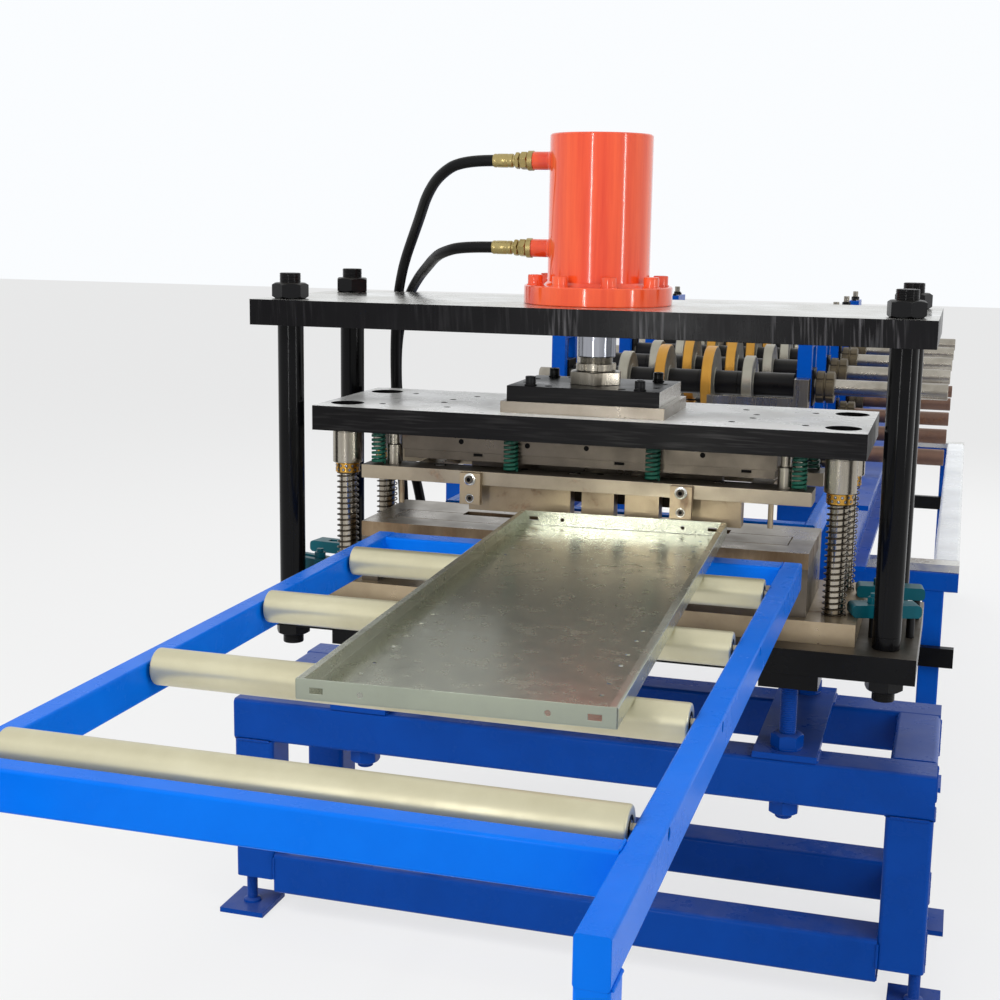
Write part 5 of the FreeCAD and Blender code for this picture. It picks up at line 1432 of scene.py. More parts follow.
@dataclass
class GuideSets:
    """Guide pillars with bushings, ball cages and the springs that lift them.

    Attributes:
        x: Place across the line.
        y: Place along the line.
        cage_r: Radius of the cage.
        cage_bore: Radius of its bore.
        cage_low: Height of its lower end.
        cage_high: How far it reaches up from there.
        ball_rows: Rows of balls.
        balls: Balls of a row.
        spring_r: Radius of the middle of the spring wire.
        spring_low: Height of the spring's foot.
        bush_r: Radius of the guide bushing.
        bush_bore: Radius of its bore.
        bush_low: Height of its lower end.
        bush_high: Height of its upper end.
        pillar_r: Radius of the guide pillar.
        pillar_low: Height of its foot.
        pillar_high: Height of its top.
    """

    x: float = 572.0
    y: float = 130.0
    cage_r: float = 29.0
    cage_bore: float = 20.3
    cage_low: float = 1092.0
    cage_high: float = 78.0
    ball_rows: int = 4
    balls: int = 12
    spring_r: float = 25.0
    spring_low: float = 843.0
    bush_r: float = 35.0
    bush_bore: float = 29.3
    bush_low: float = 1115.0
    bush_high: float = 1245.0
    pillar_r: float = 20.0
    pillar_low: float = 803.0
    pillar_high: float = 1232.0

    def build(self) -> None:
        """Build every piece of the guide sets."""
        springs = Stock("cage_coil_springs", [Coat.SPRING_STEEL])
        for x, y in corners(self.x, self.y):
            springs.coil(x, y, self.spring_r, self.spring_low, self.cage_low, 20.0, (2.6, 2.6), ends=0.8)
        springs.done("frame", "cage_springs", far_body="cages", between=(self.spring_low, self.cage_low))
        self.ball_rings()
        bushes = Stock("turned_bushings", [Coat.TURNED_STEEL])
        cages = Stock("turned_ball_cages", [Coat.BRASS])
        pillars = Stock("turned_pillars", [Coat.PILLAR_STEEL])
        for x, y in corners(self.x, self.y):
            low, r, bore, top = self.bush_low, self.bush_r, self.bush_bore, self.bush_high
            bushes.turned((x, y, 0.0), UP, [
                (bore, low), (r - 1.6, low), (r, low + 1.6), (r, low + 74.0), (r - 0.6, low + 74.6),
                (r - 0.6, low + 76.4), (r, low + 77.0), (r, top - 1.0), (r - 1.0, top), (bore, top), (bore, low)],
                64)
            low, r, bore, top = self.cage_low, self.cage_r, self.cage_bore, self.cage_low + self.cage_high
            cages.turned((x, y, 0.0), UP, [
                (bore, low), (r - 0.6, low), (r, low + 0.6), (r, low + 1.8), (r - 0.5, low + 2.2),
                (r - 0.5, low + 75.8), (r, low + 76.2), (r, top), (bore, top), (bore, low)], 64)
            low, r, top = self.pillar_low, self.pillar_r, self.pillar_high
            pillars.turned((x, y, 0.0), UP, [
                (0.0, low), (r, low), (r, top - 2.0), (r - 2.0, top), (6.0, top), (5.0, top - 3.0),
                (0.0, top - 3.0)], 64)
        bushes.done("ram", "guide_bushings")
        cages.done("cages", "ball_cages")
        pillars.done("frame", "guide_pillars")

    def ball_rings(self) -> None:
        """Set the balls into the cages, each in a dark rim that is painted shade of its pocket."""
        stock = Stock("cage_balls", [Coat.NUT_BLACK, Coat.CHROME])
        # The black ring round each ball is painted shade of the pocket it sits in.
        ball: Rings = [(3.6, -0.6), (3.6, 0.3), (2.7, 0.3), (2.7, 0.1), (1.9, 0.4), (0.0, 0.6)]
        seat_r = self.cage_r - 0.6
        for x, y in corners(self.x, self.y):
            for row in range(self.ball_rows):
                for i in range(self.balls):
                    angle = 2 * math.pi * (i + 0.5 * (row % 2)) / self.balls
                    out = (math.cos(angle), math.sin(angle), 0.0)
                    seat = (x + seat_r * out[0], y + seat_r * out[1], self.cage_low + 6.6 + row * 9.4)
                    stock.turned(seat, out, ball, 12, [0, 0, 0, 1, 1])
        stock.done("cages", smooth=80.0)


@dataclass
class Stripper:
    """Stripper and punch holder: springs, screws, posts and holes.

    Attributes:
        springs: Places of the springs across the line.
        spring_y: Place of the springs along the line.
        spring_r: Radius of the middle of the spring wire.
        low: Height of the stripper's underside.
        top: Height of the stripper's top.
        ram_low: Height of the moving platen's underside.
        links: Middles of the links.
        link_front: Front face of the links.
        washer_z: Height of the links' upper screws.
        plain_z: Height of the links' lower screws.
        bores: Places of the screws sunk in the top of the bars.
        big_beyond: Distance from the middle, along the line, beyond which they are large.
        big_bore: Radius of the large ones.
        small_bore: Radius of the small ones.
        post_x: Place of the sub guide posts across the line.
        post_y: Place of the posts along the line.
        post_r: Radius of the posts.
        post_step: Height at which the posts grow thin.
        neck_r: Radius of their thin end.
        holder_front: Front face of the punch holder.
        holes: Places of its tapped holes.
        slots: Middles of its slots.
    """

    springs: tuple[float, ...] = (-486.0, -164.0, 164.0, 486.0)
    spring_y: float = 150.0
    spring_r: float = 14.4
    low: float = 1088.0
    top: float = 1119.0
    ram_low: float = 1198.0
    links: tuple[float, float] = (-247.0, 237.0)
    link_front: float = -196.0
    washer_z: float = 1103.0
    plain_z: float = 1059.0
    bores: tuple[tuple[float, float], ...] = (
        (-344.0, -122.0), (-142.0, -112.0), (-21.0, -126.0), (37.0, -112.0), (310.0, -120.0),
        (-344.0, 122.0), (-142.0, 112.0), (37.0, 112.0), (310.0, 120.0))
    big_beyond: float = 115.0
    big_bore: float = 15.0
    small_bore: float = 8.5
    post_x: float = 454.0
    post_y: float = 132.0
    post_r: float = 17.0
    post_step: float = 1165.0
    neck_r: float = 11.0
    holder_front: float = -130.0
    holes: tuple[tuple[float, float], ...] = (
        (-131.0, 1177.0), (7.0, 1179.0), (271.0, 1179.0), (-290.0, 1178.0))
    slots: tuple[float, ...] = (83.0, 368.0, -250.0)

    def build(self) -> None:
        """Build every piece of the stripper and the punch holder."""
        stock = Stock("die_coil_springs", [Coat.SPRING_GREEN])
        for x in self.springs:
            for y in (-self.spring_y, self.spring_y):
                stock.coil(x, y, self.spring_r, self.top, self.ram_low, 8.0, (5.0, 6.6), parts=28)
        stock.done("stripper", "die_springs", far_body="ram", between=(self.top, self.ram_low))
        self.screws()
        self.posts()
        self.holder()

    def screws(self) -> None:
        """Set the screws of the links and those sunk in the top of the bars."""
        stock = Stock("link_screws", [Coat.GROUND, Coat.DARK_STEEL, Coat.SOCKET_DARK])
        # shade is the painted shadow inside sockets and bores.
        bright, dark, shade = range(3)
        washer: Rings = [(6.0, 0.0), (14.0, 0.0), (14.0, 2.0), (12.0, 2.6), (6.0, 2.6)]
        plain: Rings = [(10.5, 0.0), (10.0, 0.5), (8.2, 0.3), (Hex(8.0), 0.3), (0.0, 0.2)]
        for x in self.links:
            stock.turned((x, self.link_front, self.washer_z), FRONT, washer)
            stock.cap_screw((x, self.link_front - 2.4, self.washer_z), FRONT, 9.0, 8.0, dark, shade)
            stock.turned((x, self.link_front, self.plain_z), FRONT, plain, 24, [dark, bright, dark, shade])
        for x, y in self.bores:
            big = abs(y) > self.big_beyond
            r = self.big_bore if big else self.small_bore
            stock.turned((x, y, self.top), UP, [(r, 0.0), (r - 0.4, 0.6), (r - 2.0, 0.5), (r - 3.0, 0.2),
                                                (0.0, 0.15)], 36, [dark, shade, shade, bright if big else shade])
        stock.done("stripper")

    def posts(self) -> None:
        """Turn the sub guide posts."""
        stock = Stock("turned_posts", [Coat.TURNED_STEEL])
        r, neck, low, step, top = self.post_r, self.neck_r, self.low, self.post_step, self.ram_low
        for x, y in corners(self.post_x, self.post_y):
            stock.turned((x, y, 0.0), UP, [
                (0.0, low), (r - 1.2, low), (r, low + 1.2), (r, step - 1.4), (r - 1.4, step), (neck, step),
                (neck, top), (0.0, top)], 48)
        stock.done("ram", "sub_guide_posts")

    def holder(self) -> None:
        """Mark the tapped holes and the slots in the front of the punch holder, their dark insides painted shadow.
        """
        stock = Stock("holder_tapped_holes", [Coat.DARK_STEEL, Coat.SOCKET_DARK])
        hole: Rings = [(6.4, -0.1), (6.0, 0.4), (5.0, 0.3), (0.0, 0.2)]
        for x, z in self.holes:
            stock.turned((x, self.holder_front, z), FRONT, hole, 24, [0, 1, 1])
        for x in self.slots:
            stock.bar((x - 13.0, -126.3, 1144.0), (x + 13.0, -125.0, 1153.0), 0.0)
            stock.bar((x - 11.0, -126.5, 1145.5), (x + 11.0, -125.5, 1151.5), 0.0, 1)
        stock.done("ram")


@dataclass
class Table:
    """Run-out table: rollers and weld beads.

    Attributes:
        left: Inside of the left rail.
        right: Inside of the right rail.
        top: Height of the rails' top.
        rail: Width of a rail.
        deep: Height of a rail.
        axis_z: Height of the roller axes.
        roller_r: Radius of the rollers.
        roller_ys: Places of the rollers along the line.
        journal_r: Radius of their journals.
        gap: Gap beside a roller.
        seat: Length of a journal in its rail.
        near_rail: Two sides of the cross rail nearest to the press.
        far_rail: Two sides of the far cross rail.
        leg: Two sides of a leg.
        tongues: Middles of the tongues that carry the table at the press.
    """

    left: float = -397.0
    right: float = 473.0
    top: float = 985.0
    rail: float = 40.0
    deep: float = 60.0
    axis_z: float = 974.0
    roller_r: float = 30.0
    roller_ys: tuple[float, ...] = (-536.0, -949.0, -1362.0, -1775.0)
    journal_r: float = 8.0
    gap: float = 6.0
    seat: float = 38.0
    near_rail: tuple[float, float] = (-338.0, -278.0)
    far_rail: tuple[float, float] = (-1870.0, -1830.0)
    leg: tuple[float, float] = (-2074.0, -2026.0)
    tongues: tuple[float, float] = (-60.0, 250.0)

    def build(self) -> None:
        """Build every piece of the table."""
        for number, y in enumerate(self.roller_ys, start=1):
            self.roller(number, y)
        self.welds()

    def roller(self, number: int, y: float) -> None:
        """Make one roller with its end caps.

        Args:
            number: Its number from the press outwards.
            y: Its place along the line.
        """
        zinc, black, steel = range(3)
        stock = Stock("zinc_roller_%d" % number, [Coat.ROLLER_ZINC, Coat.NUT_BLACK, Coat.TURNED_STEEL])
        half = (self.right - self.left) / 2
        body, tip = half - self.gap, half + self.seat
        r, pin = self.roller_r, self.journal_r
        end = [(0.0, tip), (pin - 1.0, tip), (pin, tip - 1.0), (pin, body + 0.4), (11.0, body + 0.2),
               (11.0, body - 1.6), (17.5, body - 1.6), (17.5, body - 0.4), (20.0, body), (r - 3.0, body),
               (r - 1.6, body - 0.5), (r - 0.7, body - 1.4), (r - 0.2, body - 2.6), (r, body - 4.0)]
        bands = [steel] * 4 + [black] * 3 + [zinc] * 6
        rings: Rings = [(radius, -along) for radius, along in end]
        rings += [(r, -body * 0.3), (r, body * 0.3)]
        rings += [(radius, along) for radius, along in reversed(end)]
        middle = ((self.right + self.left) / 2, y, self.axis_z)
        stock.turned(middle, RIGHT, rings, 64, bands + [zinc] * 3 + bands[::-1])
        stock.done("table_roller_%d" % number, "table_roller_%d" % number)

    def welds(self) -> None:
        """Lay the weld beads between cross rails, side rails and legs."""
        stock = Stock("table_weld_beads", [Coat.TABLE_BLUE])
        top, foot = self.top, self.top - self.deep
        near, back = self.near_rail
        low, high = self.far_rail
        seeds = itertools.count(101)
        for x in (self.left, self.right):
            for y in self.far_rail:
                seed = next(seeds)
                stock.bead((x, y, top - 6), (x, y, foot + 6), 2.6, seed)
            stock.bead((x, low + 4, top), (x, high - 4, top), 2.2, seed + 30)
            stock.bead((x, near, top - 6), (x, near, top - 34), 2.6, seed + 40)
            stock.bead((x, near + 6, top), (x, back - 6, top), 2.2, seed + 50)
        for x in (self.left - self.rail, self.right + self.rail):
            stock.bead((x, self.leg[0], foot), (x, self.leg[1], foot), 2.8, int(x) % 97)
        for middle in self.tongues:
            for x in (middle - 40.0, middle + 40.0):
                stock.bead((x, back, 953.0), (x, back, 976.0), 2.6, int(x) % 89)
        stock.done("frame")


@dataclass
class ShelfPanel:
    """Folded shelf panel of galvanised sheet with punched holes.

    Attributes:
        width: Width across the line.
        length: Length along the line.
        height: Height of its walls.
        sheet: Thickness of the sheet.
        short: How much shorter the long walls are at each end.
        lip: Width of the return lips.
        bend: Bend radius at the middle of the sheet.
        place: Middle of its floor.
        turn: Turn about Z in degrees.
        hole_x: Row of floor holes from the middle.
        hole_ys: Places of the floor holes.
        wall_slots: Places of the long holes in the end walls.
        wall_holes: Places of the round holes in the end walls.
    """

    width: float = 468.0
    length: float = 1360.0
    height: float = 32.0
    sheet: float = 1.5
    short: float = 2.2
    lip: float = 12.0
    bend: float = 2.6
    place: Point = (130.0, -845.0, 1004.3)
    turn: float = 2.4
    hole_x: float = 185.0
    hole_ys: tuple[float, ...] = (605.0, 498.0, 416.0, 349.0, -165.0, -230.0, -315.0, -378.0, -475.0, -537.0)
    wall_slots: tuple[float, ...] = (-202.0, 202.0)
    wall_holes: tuple[float, ...] = (-136.0, 136.0)

    def folded(self, line: list[tuple[float, float]]) -> list[tuple[float, float]]:
        """Outline of a sheet folded along a line, with rounded bends.

        Args:
            line: Middle of the sheet, corner by corner.

        Returns:
            Closed outline.
        """
        smooth = [line[0]]
        for before, here, after in zip(line, line[1:], line[2:]):
            a = (Vector(before) - Vector(here)).normalized() * self.bend
            b = (Vector(after) - Vector(here)).normalized() * self.bend
            for i in range(7):
                t = i / 6
                spot = Vector(here) + a * (1 - t) ** 2 + b * t ** 2
                smooth.append((spot.x, spot.y))
        smooth.append(line[-1])
        left, right = [], []
        for i, here in enumerate(smooth):
            ahead = Vector(smooth[min(i + 1, len(smooth) - 1)]) - Vector(smooth[max(i - 1, 0)])
            out = Vector((-ahead.y, ahead.x)).normalized() * (self.sheet / 2)
            left.append((here[0] + out.x, here[1] + out.y))
            right.append((here[0] - out.x, here[1] - out.y))
        return left + right[::-1]

    def settle(self, mesh: bmesh.types.BMesh) -> None:
        """Turn a mesh made about the panel's own middle into its place on the rollers."""
        spin = Matrix.Rotation(math.radians(self.turn), 3, "Z")
        bmesh.ops.rotate(mesh, cent=(0.0, 0.0, 0.0), verts=mesh.verts, matrix=spin)
        bmesh.ops.translate(mesh, verts=mesh.verts, vec=self.place)

    def build(self) -> None:
        """Fold the sheet and punch its holes."""
        stock = Stock("punched_shelf_panel", [Coat.GALVANISED])
        mid = self.sheet / 2
        half_w, half_l, top = self.width / 2 - mid, self.length / 2, self.height - mid
        across = [(-half_w + self.lip, top), (-half_w, top), (-half_w, mid), (half_w, mid), (half_w, top),
                  (half_w - self.lip, top)]
        run = half_l - self.short
        stock.swept([(0.0, -run, 0.0), (0.0, run, 0.0)], self.folded(across))
        inner, floor = half_w - mid - 0.1, mid + 0.02
        for side in SIDES:
            end = -side * (half_l - mid)
            along = [(-side * (half_l - self.lip), floor), (end, floor), (end, self.height)]
            stock.swept([(-inner, 0.0, 0.0), (inner, 0.0, 0.0)], self.folded(along))
        self.settle(stock.mesh)
        cutter = show("panel_punches", self.punches())
        panel = stock.done("frame", "shelf_panel", smooth=30.0)
        cut = panel.modifiers.new("punch", "BOOLEAN")
        cut.object = cutter
        cut.operation = "DIFFERENCE"
        cut.solver = "EXACT"
        cut.use_self = True
        bpy.context.view_layer.update()
        panel.data = self.pierced(panel)
        bpy.data.objects.remove(cutter)

    def punches(self) -> bpy.types.Mesh:
        """Make the punches that cut every hole.

        Returns:
            Their mesh.
        """
        stock = Stock("panel_punches", [Coat.GALVANISED])
        floor_hole: Rings = [(0.0, 0.0), (4.0, 0.0), (4.0, 10.0), (0.0, 10.0)]
        wall_hole: Rings = [(0.0, 0.0), (4.6, 0.0), (4.6, 16.0), (0.0, 16.0)]
        for x in (-self.hole_x, self.hole_x):
            for y in self.hole_ys:
                stock.turned((x, y, -4.0), UP, floor_hole, 20)
        for side in SIDES:
            wall = side * self.length / 2
            for x in self.wall_holes:
                stock.turned((x, wall + 8.0, 15.0), FRONT, wall_hole, 20)
            for x in self.wall_slots:
                stock.bar((x - 10.0, wall - 8.0, 10.5), (x + 10.0, wall + 8.0, 19.5), 0.0)
        self.settle(stock.mesh)
        return stock.flat()

    def pierced(self, panel: bpy.types.Object) -> bpy.types.Mesh:
        """Cut the holes for good, make every face flat-shaded, and give the front flange's outward faces the darker
        painted shade.

        Args:
            panel: The folded panel with its cut.

        Returns:
            The pierced mesh.
        """
        mesh = bpy.data.meshes.new_from_object(panel.evaluated_get(bpy.context.evaluated_depsgraph_get()))
        panel.modifiers.clear()
        mesh.name = "punched_shelf_panel"
        mesh.materials.clear()
        for coat in (Coat.GALVANISED, Coat.PANEL_END):
            mesh.materials.append(coat.material)
        front = min(vert.co.y for vert in mesh.vertices)
        for face in mesh.polygons:
            face.use_smooth = False
            # Outward faces of the front flange take the darker painted shade.
            face.material_index = int(face.normal.y < -0.7 and face.center.y < front + 0.03)
        return mesh


@dataclass
class RollSet:
    """One shaft of a forming station with its rolls, sleeves and lock nut.

    Attributes:
        name: Name of the piece.
        node: CAD node that it replaces, and the body that it rides on.
        y: Place along the line.
        z: Height of the axis.
        near: Radius of the two inner rolls.
        far: Radius of the two outer rolls.
        steel: Finish of the shaft.
        shaft_r: Radius of the shaft.
        ends: Places of its two ends.
        sleeve_r: Radius of the sleeves.
        sleeves: Places of the two ends of the sleeves.
        middle: Place of the middle of the rolls.
        offsets: Distances of the inner and the outer rolls from there.
        thick: Thickness of a roll.
        hub: Height of a roll's hub above the sleeves.
        lock: Places of the two ends of the lock nut.
        lock_r: Its radius.
    """

    name: str
    node: str
    y: float
    z: float
    near: float
    far: float
    steel: Coat
    shaft_r: float = 26.0
    ends: tuple[float, float] = (-575.0, 768.0)
    sleeve_r: float = 40.0
    sleeves: tuple[float, float] = (-456.5, 287.5)
    middle: float = -65.0
    offsets: tuple[float, float] = (77.0, 205.0)
    thick: float = 34.0
    hub: float = 9.0
    lock: tuple[float, float] = (356.5, 414.5)
    lock_r: float = 52.0

    def build(self) -> None:
        """Turn the shaft with everything on it."""
        shaft, black, face, rim, nut = range(5)
        r, sleeve, lock = self.shaft_r, self.sleeve_r, self.lock_r
        (left, right), (open_x, shut_x), (near_x, far_x) = self.ends, self.sleeves, self.lock
        centre, slots = 7.0, Slotted(lock, 5.0, 6, 14.0)
        outline: list[tuple[Section, float, int]] = [
            (centre, left, black), (centre, left + 0.4, shaft), (r - 2.0, left + 0.4, shaft),
            (r, left + 2.0, shaft), (r, open_x, shaft), (sleeve - 2.0, open_x, black),
            (sleeve, open_x + 2.0, black)]
        inner, outer = self.offsets
        for offset, radius, tread in ((-outer, self.far, face), (-inner, self.near, rim),
                                      (inner, self.near, rim), (outer, self.far, face)):
            low = self.middle + offset - self.thick / 2
            high = self.middle + offset + self.thick / 2
            seam, hub = low - 22.0, sleeve + self.hub
            outline += [
                (sleeve, seam, black), (sleeve - 1.6, seam + 0.8, black), (sleeve, seam + 1.6, black),
                (sleeve, low, black), (hub, low, face), (hub, low + 1.2, face), (radius - 9.0, low + 1.2, face),
                (radius - 7.0, low, face), (radius - 3.0, low, face), (radius, low + 2.6, tread),
                (radius, high - 2.6, tread), (radius - 3.0, high, tread), (radius - 7.0, high, face),
                (radius - 9.0, high - 1.2, face), (hub, high - 1.2, face), (hub, high, face),
                (sleeve, high, face)]
        outline += [
            (sleeve, shut_x - 2.0, black), (sleeve - 2.0, shut_x, black), (r, shut_x, black),
            (r, near_x, shaft), (lock - 3.0, near_x, nut), (slots, near_x + 2.0, nut),
            (slots, near_x + 24.0, nut), (lock - 7.0, near_x + 25.5, nut), (lock - 7.0, near_x + 31.0, nut),
            (slots, near_x + 32.5, nut), (slots, far_x - 2.0, nut), (lock - 5.0, far_x, nut), (r, far_x, nut),
            (r, right - 2.0, shaft), (r - 2.0, right, shaft), (centre, right, shaft),
            (centre, right - 0.6, black), (0.0, right - 0.6, black)]
        rings: Rings = [(0.0, left)] + [(section, x) for section, x, _ in outline]
        stock = Stock(self.name, [self.steel, Coat.SLEEVE_BLACK, Coat.ROLL_FACE, Coat.ROLL_RIM, Coat.LOCK_NUT])
        stock.turned((0.0, self.y, self.z), RIGHT, rings, 96, [coat for _, _, coat in outline])
        stock.done(self.node, self.node)


@dataclass
class FormingBed:
    """Forming bed: roll sets, screws of the housings and bolts of the beams.

    Attributes:
        stations: Number of stations.
        first: Place of the first station.
        pitch: Distance between stations.
        lower_z: Height of the lower axes.
        upper_z: Height of the upper axes.
        stands: Places of the two roll housings.
        stand_top: Height of the housings.
        beam_top: Height of the beams that carry them.
        lug: Thickness of the lugs that hold them down.
    """

    stations: int = 5
    first: float = 1600.0
    pitch: float = 523.0
    lower_z: float = 955.0
    upper_z: float = 1165.0
    stands: tuple[float, float] = (-491.0, 322.0)
    stand_top: float = 1350.0
    beam_top: float = 892.0
    lug: float = 14.0

    def places(self) -> list[float]:
        """Places of the stations along the line."""
        return [self.first + i * self.pitch for i in range(self.stations)]

    def build(self) -> None:
        """Build every piece of the bed."""
        for number, y in enumerate(self.places(), start=1):
            for level, z, near, far, steel in (("lower", self.lower_z, 85.0, 112.0, Coat.SHAFT_BROWN),
                                               ("upper", self.upper_z, 119.0, 92.0, Coat.SHAFT_BRIGHT)):
                RollSet("%s_roll_set_%d" % (level, number), "%s_shaft_%d" % (level, number), y, z, near, far,
                        steel).build()
        self.housings()

    def housings(self) -> None:
        """Set the adjusting screws and the holding bolts of the roll housings."""
        stock = Stock("housing_screws", [Coat.NUT_BLACK, Coat.TURNED_STEEL, Coat.BED_BLUE])
        washer: Rings = [(12.0, 0.0), (19.0, 0.0), (19.0, 2.5), (12.0, 3.0)]
        top, base, over = self.stand_top, self.beam_top, self.beam_top + self.lug
        for y in self.places():
            for x in self.stands:
                stock.turned((x, y, top), UP, washer, 32, 1)
                stock.nut((x, y, top + 2.5), UP, 30.0, 14.0, 11.6, y * 0.7 + x * 0.1)
                stock.thread((x, y, top + 14.0), UP, 12.0, 26.0, 2.6, 1)
                for side in SIDES:
                    stock.cap_screw((x, y + side * 62.0, top), UP, 9.0, 9.0, 0, 0)
                    foot_y = y + side * 52.0
                    reach = (22.5, 60.0) if x > 0 else (-60.0, -22.5)
                    low, high = x + reach[0], x + reach[1]
                    stock.bar((low, foot_y - 22.0, base), (high, foot_y + 22.0, over), 1.5, 2)
                    middle = (low + high) / 2
                    stock.nut((middle, foot_y, over), UP, 24.0, 12.0, 8.0, y + side * 9)
                    stock.thread((middle, foot_y, over + 10.0), UP, 8.0, 10.0, 2.2)
        stock.done("frame")


@dataclass
class Studio:
    """Camera, lamps, world and floor.

    Attributes:
        place: Place of the camera in metres.
        right: Its right hand direction.
        up: Its up direction.
        look: Its viewing direction.
        lens: Focal length in millimetres on a 36 mm sensor.
        sky_light: Strength of the light of the surroundings.
        floor_reach: Half the side of the floor in metres.
        floor_pale: Share of plain white in the seen floor; the rest shows the shadow.
    """

    place: Point = (0.80835, -4.49210, 1.68391)
    right: Point = (0.95701672, 0.28964618, 0.01496973)
    up: Point = (-0.06603446, 0.16734412, 0.98368460)
    look: Point = (-0.28241539, 0.94239113, -0.17927775)
    lens: float = 55.378
    sky_light: float = 0.42
    floor_reach: float = 30.0
    floor_pale: float = 0.74

    def camera(self) -> None:
        """Set the camera up."""
        data = bpy.data.cameras.new("camera")
        data.lens = self.lens
        data.sensor_width = 36.0
        camera = show("camera", data)
        turn = Matrix((self.right, self.up, -Vector(self.look))).transposed()
        camera.matrix_world = Matrix.Translation(self.place) @ turn.to_4x4()
        bpy.context.scene.camera = camera

    def lamp(self, name: str, place: Point, aim: Point, size: float, watts: float,
             height: float = 0.0) -> None:
        """Hang one soft lamp.

        Args:
            name: Its name.
            place: Its place in metres.
            aim: Point that it faces.
            size: Side of its square in metres.
            watts: Its power.
            height: Its height in metres, if it is a strip that shows as a highlight.
        """
        data = bpy.data.lights.new(name, "AREA")
        data.size = size
        if height:
            data.shape = "RECTANGLE"
            data.size_y = height
        data.energy = watts
        lamp = show(name, data)
        lamp.location = place
        lamp.rotation_mode = "QUATERNION"
        lamp.rotation_quaternion = (Vector(aim) - Vector(place)).to_track_quat("-Z", "Y")
        lamp.visible_camera = False
        lamp.visible_glossy = bool(height)

    def seen(self, graph: Graph) -> bpy.types.NodeSocket:
        """Tell what the camera sees, straight, in a reflection or through glass, from light on the object.

        Args:
            graph: Graph of the floor or the world.

        Returns:
            1 where it is seen, else 0.
        """
        path = graph.put("ShaderNodeLightPath").outputs
        return graph.math("MAXIMUM", path["Is Camera Ray"],
                          graph.math("MAXIMUM", path["Is Glossy Ray"], path["Is Transmission Ray"]))

    def world(self) -> None:
        """Make the pale surroundings, white where the camera or a reflection sees them."""
        world = bpy.data.worlds.new("studio")
        world.use_nodes = True
        world.node_tree.nodes.clear()
        graph = Graph(world.node_tree)
        strength = graph.between(self.seen(graph), self.sky_light, 1.0)
        light = graph.put("ShaderNodeBackground", {"Color": (0.96, 0.98, 1.0, 1.0), "Strength": strength})
        graph.put("ShaderNodeOutputWorld", {"Surface": light.outputs[0]})
        bpy.context.scene.world = world

    def floor(self) -> None:
        """Lay the plain pale floor."""
        data = bpy.data.meshes.new("studio_floor")
        edge = self.floor_reach
        data.from_pydata([(-edge, -edge, 0.0), (edge, -edge, 0.0), (edge, edge, 0.0), (-edge, edge, 0.0)], [],
                         [(0, 1, 2, 3)])
        material = bpy.data.materials.new("studio_floor")
        material.use_nodes = True
        material.node_tree.nodes.clear()
        graph = Graph(material.node_tree)
        paint = graph.put("ShaderNodeBsdfPrincipled", {"Base Color": (0.86, 0.86, 0.85, 1.0), "Roughness": 0.9,
                                                       "Specular IOR Level": 0.1}).outputs[0]
        pale = graph.put("ShaderNodeEmission", {"Color": (1.0, 1.0, 1.0, 1.0), "Strength": 0.96}).outputs[0]
        share = graph.math("MULTIPLY", self.seen(graph), self.floor_pale)
        both = graph.put("ShaderNodeMixShader", {0: share, 1: paint, 2: pale})
        graph.put("ShaderNodeOutputMaterial", {"Surface": both.outputs[0]})
        data.materials.append(material)
        show("studio_floor", data)

    def build(self) -> None:
        """Set the studio up."""
        self.camera()
        self.world()
        self.floor()
        self.lamp("key_lamp", (-2.6, -4.6, 4.4), (0.0, -0.9, 0.9), 2.6, 150.0)
        self.lamp("fill_lamp", (3.6, -3.4, 3.2), (0.1, -0.6, 0.9), 2.4, 60.0)
        self.lamp("left_strip", (-0.6, -6.0, 1.9), (0.0, -1.0, 1.5), 0.14, 34.0, 2.6)
        self.lamp("right_strip", (4.7, -3.1, 1.9), (0.0, -1.0, 1.5), 0.2, 34.0, 2.6)
        self.lamp("back_lamp", (0.6, 4.6, 4.6), (0.0, 0.2, 1.0), 3.0, 150.0)
        bpy.context.scene.view_settings.view_transform = "Standard"


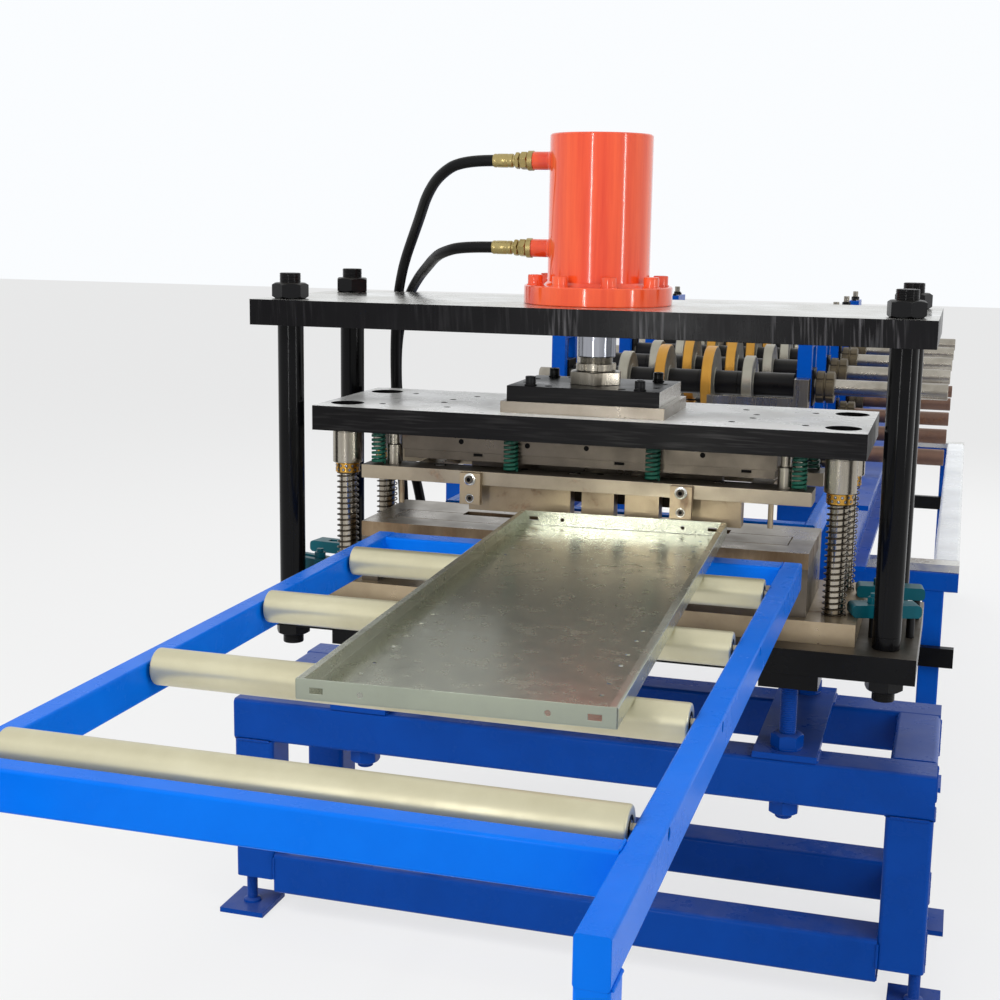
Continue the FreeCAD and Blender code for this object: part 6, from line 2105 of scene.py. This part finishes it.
def dress_nodes() -> None:
    """Give every CAD node its finish."""
    dress(Coat.FRAME_BLUE, "base_legs", "base_long_rails", "base_side_rails", "levelling_feet", "jack_bolts",
          "hose_bulkhead")
    dress(Faced.JACK_BARS, "jack_bars")
    dress(Faced.BOTTOM_PLATEN, "bottom_platen")
    dress(Faced.TOP_PLATEN, "top_platen")
    dress(Faced.MOVING_PLATEN, "moving_platen")
    dress(Coat.COLUMN_BLACK, "columns")
    dress(Coat.NUT_BLACK, "column_nuts")
    dress(Coat.CYLINDER_RED, "cylinder_barrel")
    dress(Coat.ZINC_YELLOW, "port_fittings")
    dress(Coat.RUBBER, "hose_upper", "hose_lower")
    dress(Coat.CHROME, "piston_rod")
    dress(Faced.ADAPTER, "adapter_plate_upper")
    dress(Coat.DIE_TOP, "adapter_plate_lower")
    dress(Coat.TURNED_STEEL, "guide_bushings", "guide_pillars", "sub_guide_posts")
    dress(Coat.BRASS, "ball_cages")
    dress(Coat.SPRING_STEEL, "cage_springs")
    dress(Coat.SPRING_GREEN, "die_springs")
    dress(Coat.DARK_STEEL, "punch_holder", "die_risers")
    dress(Coat.SHOE_STEEL, "die_shoe", "presser_blocks", "stripper_links")
    dress(Faced.STRIPPER, "stripper_bars")
    dress(Faced.DIE, "die_plate")
    dress(Faced.TOE_CLAMP, "toe_clamps")
    dress(Coat.TABLE_BLUE, "table_side_rails", "table_cross_rails", "table_legs")
    dress(Coat.ROLLER_ZINC, *["table_roller_%d" % n for n in range(1, 5)])
    dress(Coat.GALVANISED, "shelf_panel")
    dress(Coat.BED_BLUE, "bed_legs", "bed_cross_beams", "stand_beams", "forming_stands")
    dress(Coat.GROUND, "bed_slide_bars")
    dress(Coat.RAIL_BLACK, "bed_low_rails")
    dress(Coat.BEAM_WHITE, "bed_outer_beams")
    dress(Coat.SLEEVE_BLACK, "bearing_chocks")
    dress(Coat.TURNED_STEEL, "exit_guide_bar")


def main() -> None:
    """Build the studio and every piece in order."""
    logging.basicConfig(level=logging.INFO, format="%(message)s")
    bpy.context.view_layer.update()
    Studio().build()
    dress_nodes()
    for hose in HOSES:
        hose.build()
    for assembly in (BaseFrame(), PressFrame(), Cylinder(), Ram(), GuideSets(), Stripper(), Table(),
                     ShelfPanel(), FormingBed()):
        assembly.build()


if __name__ == "__main__":
    main()
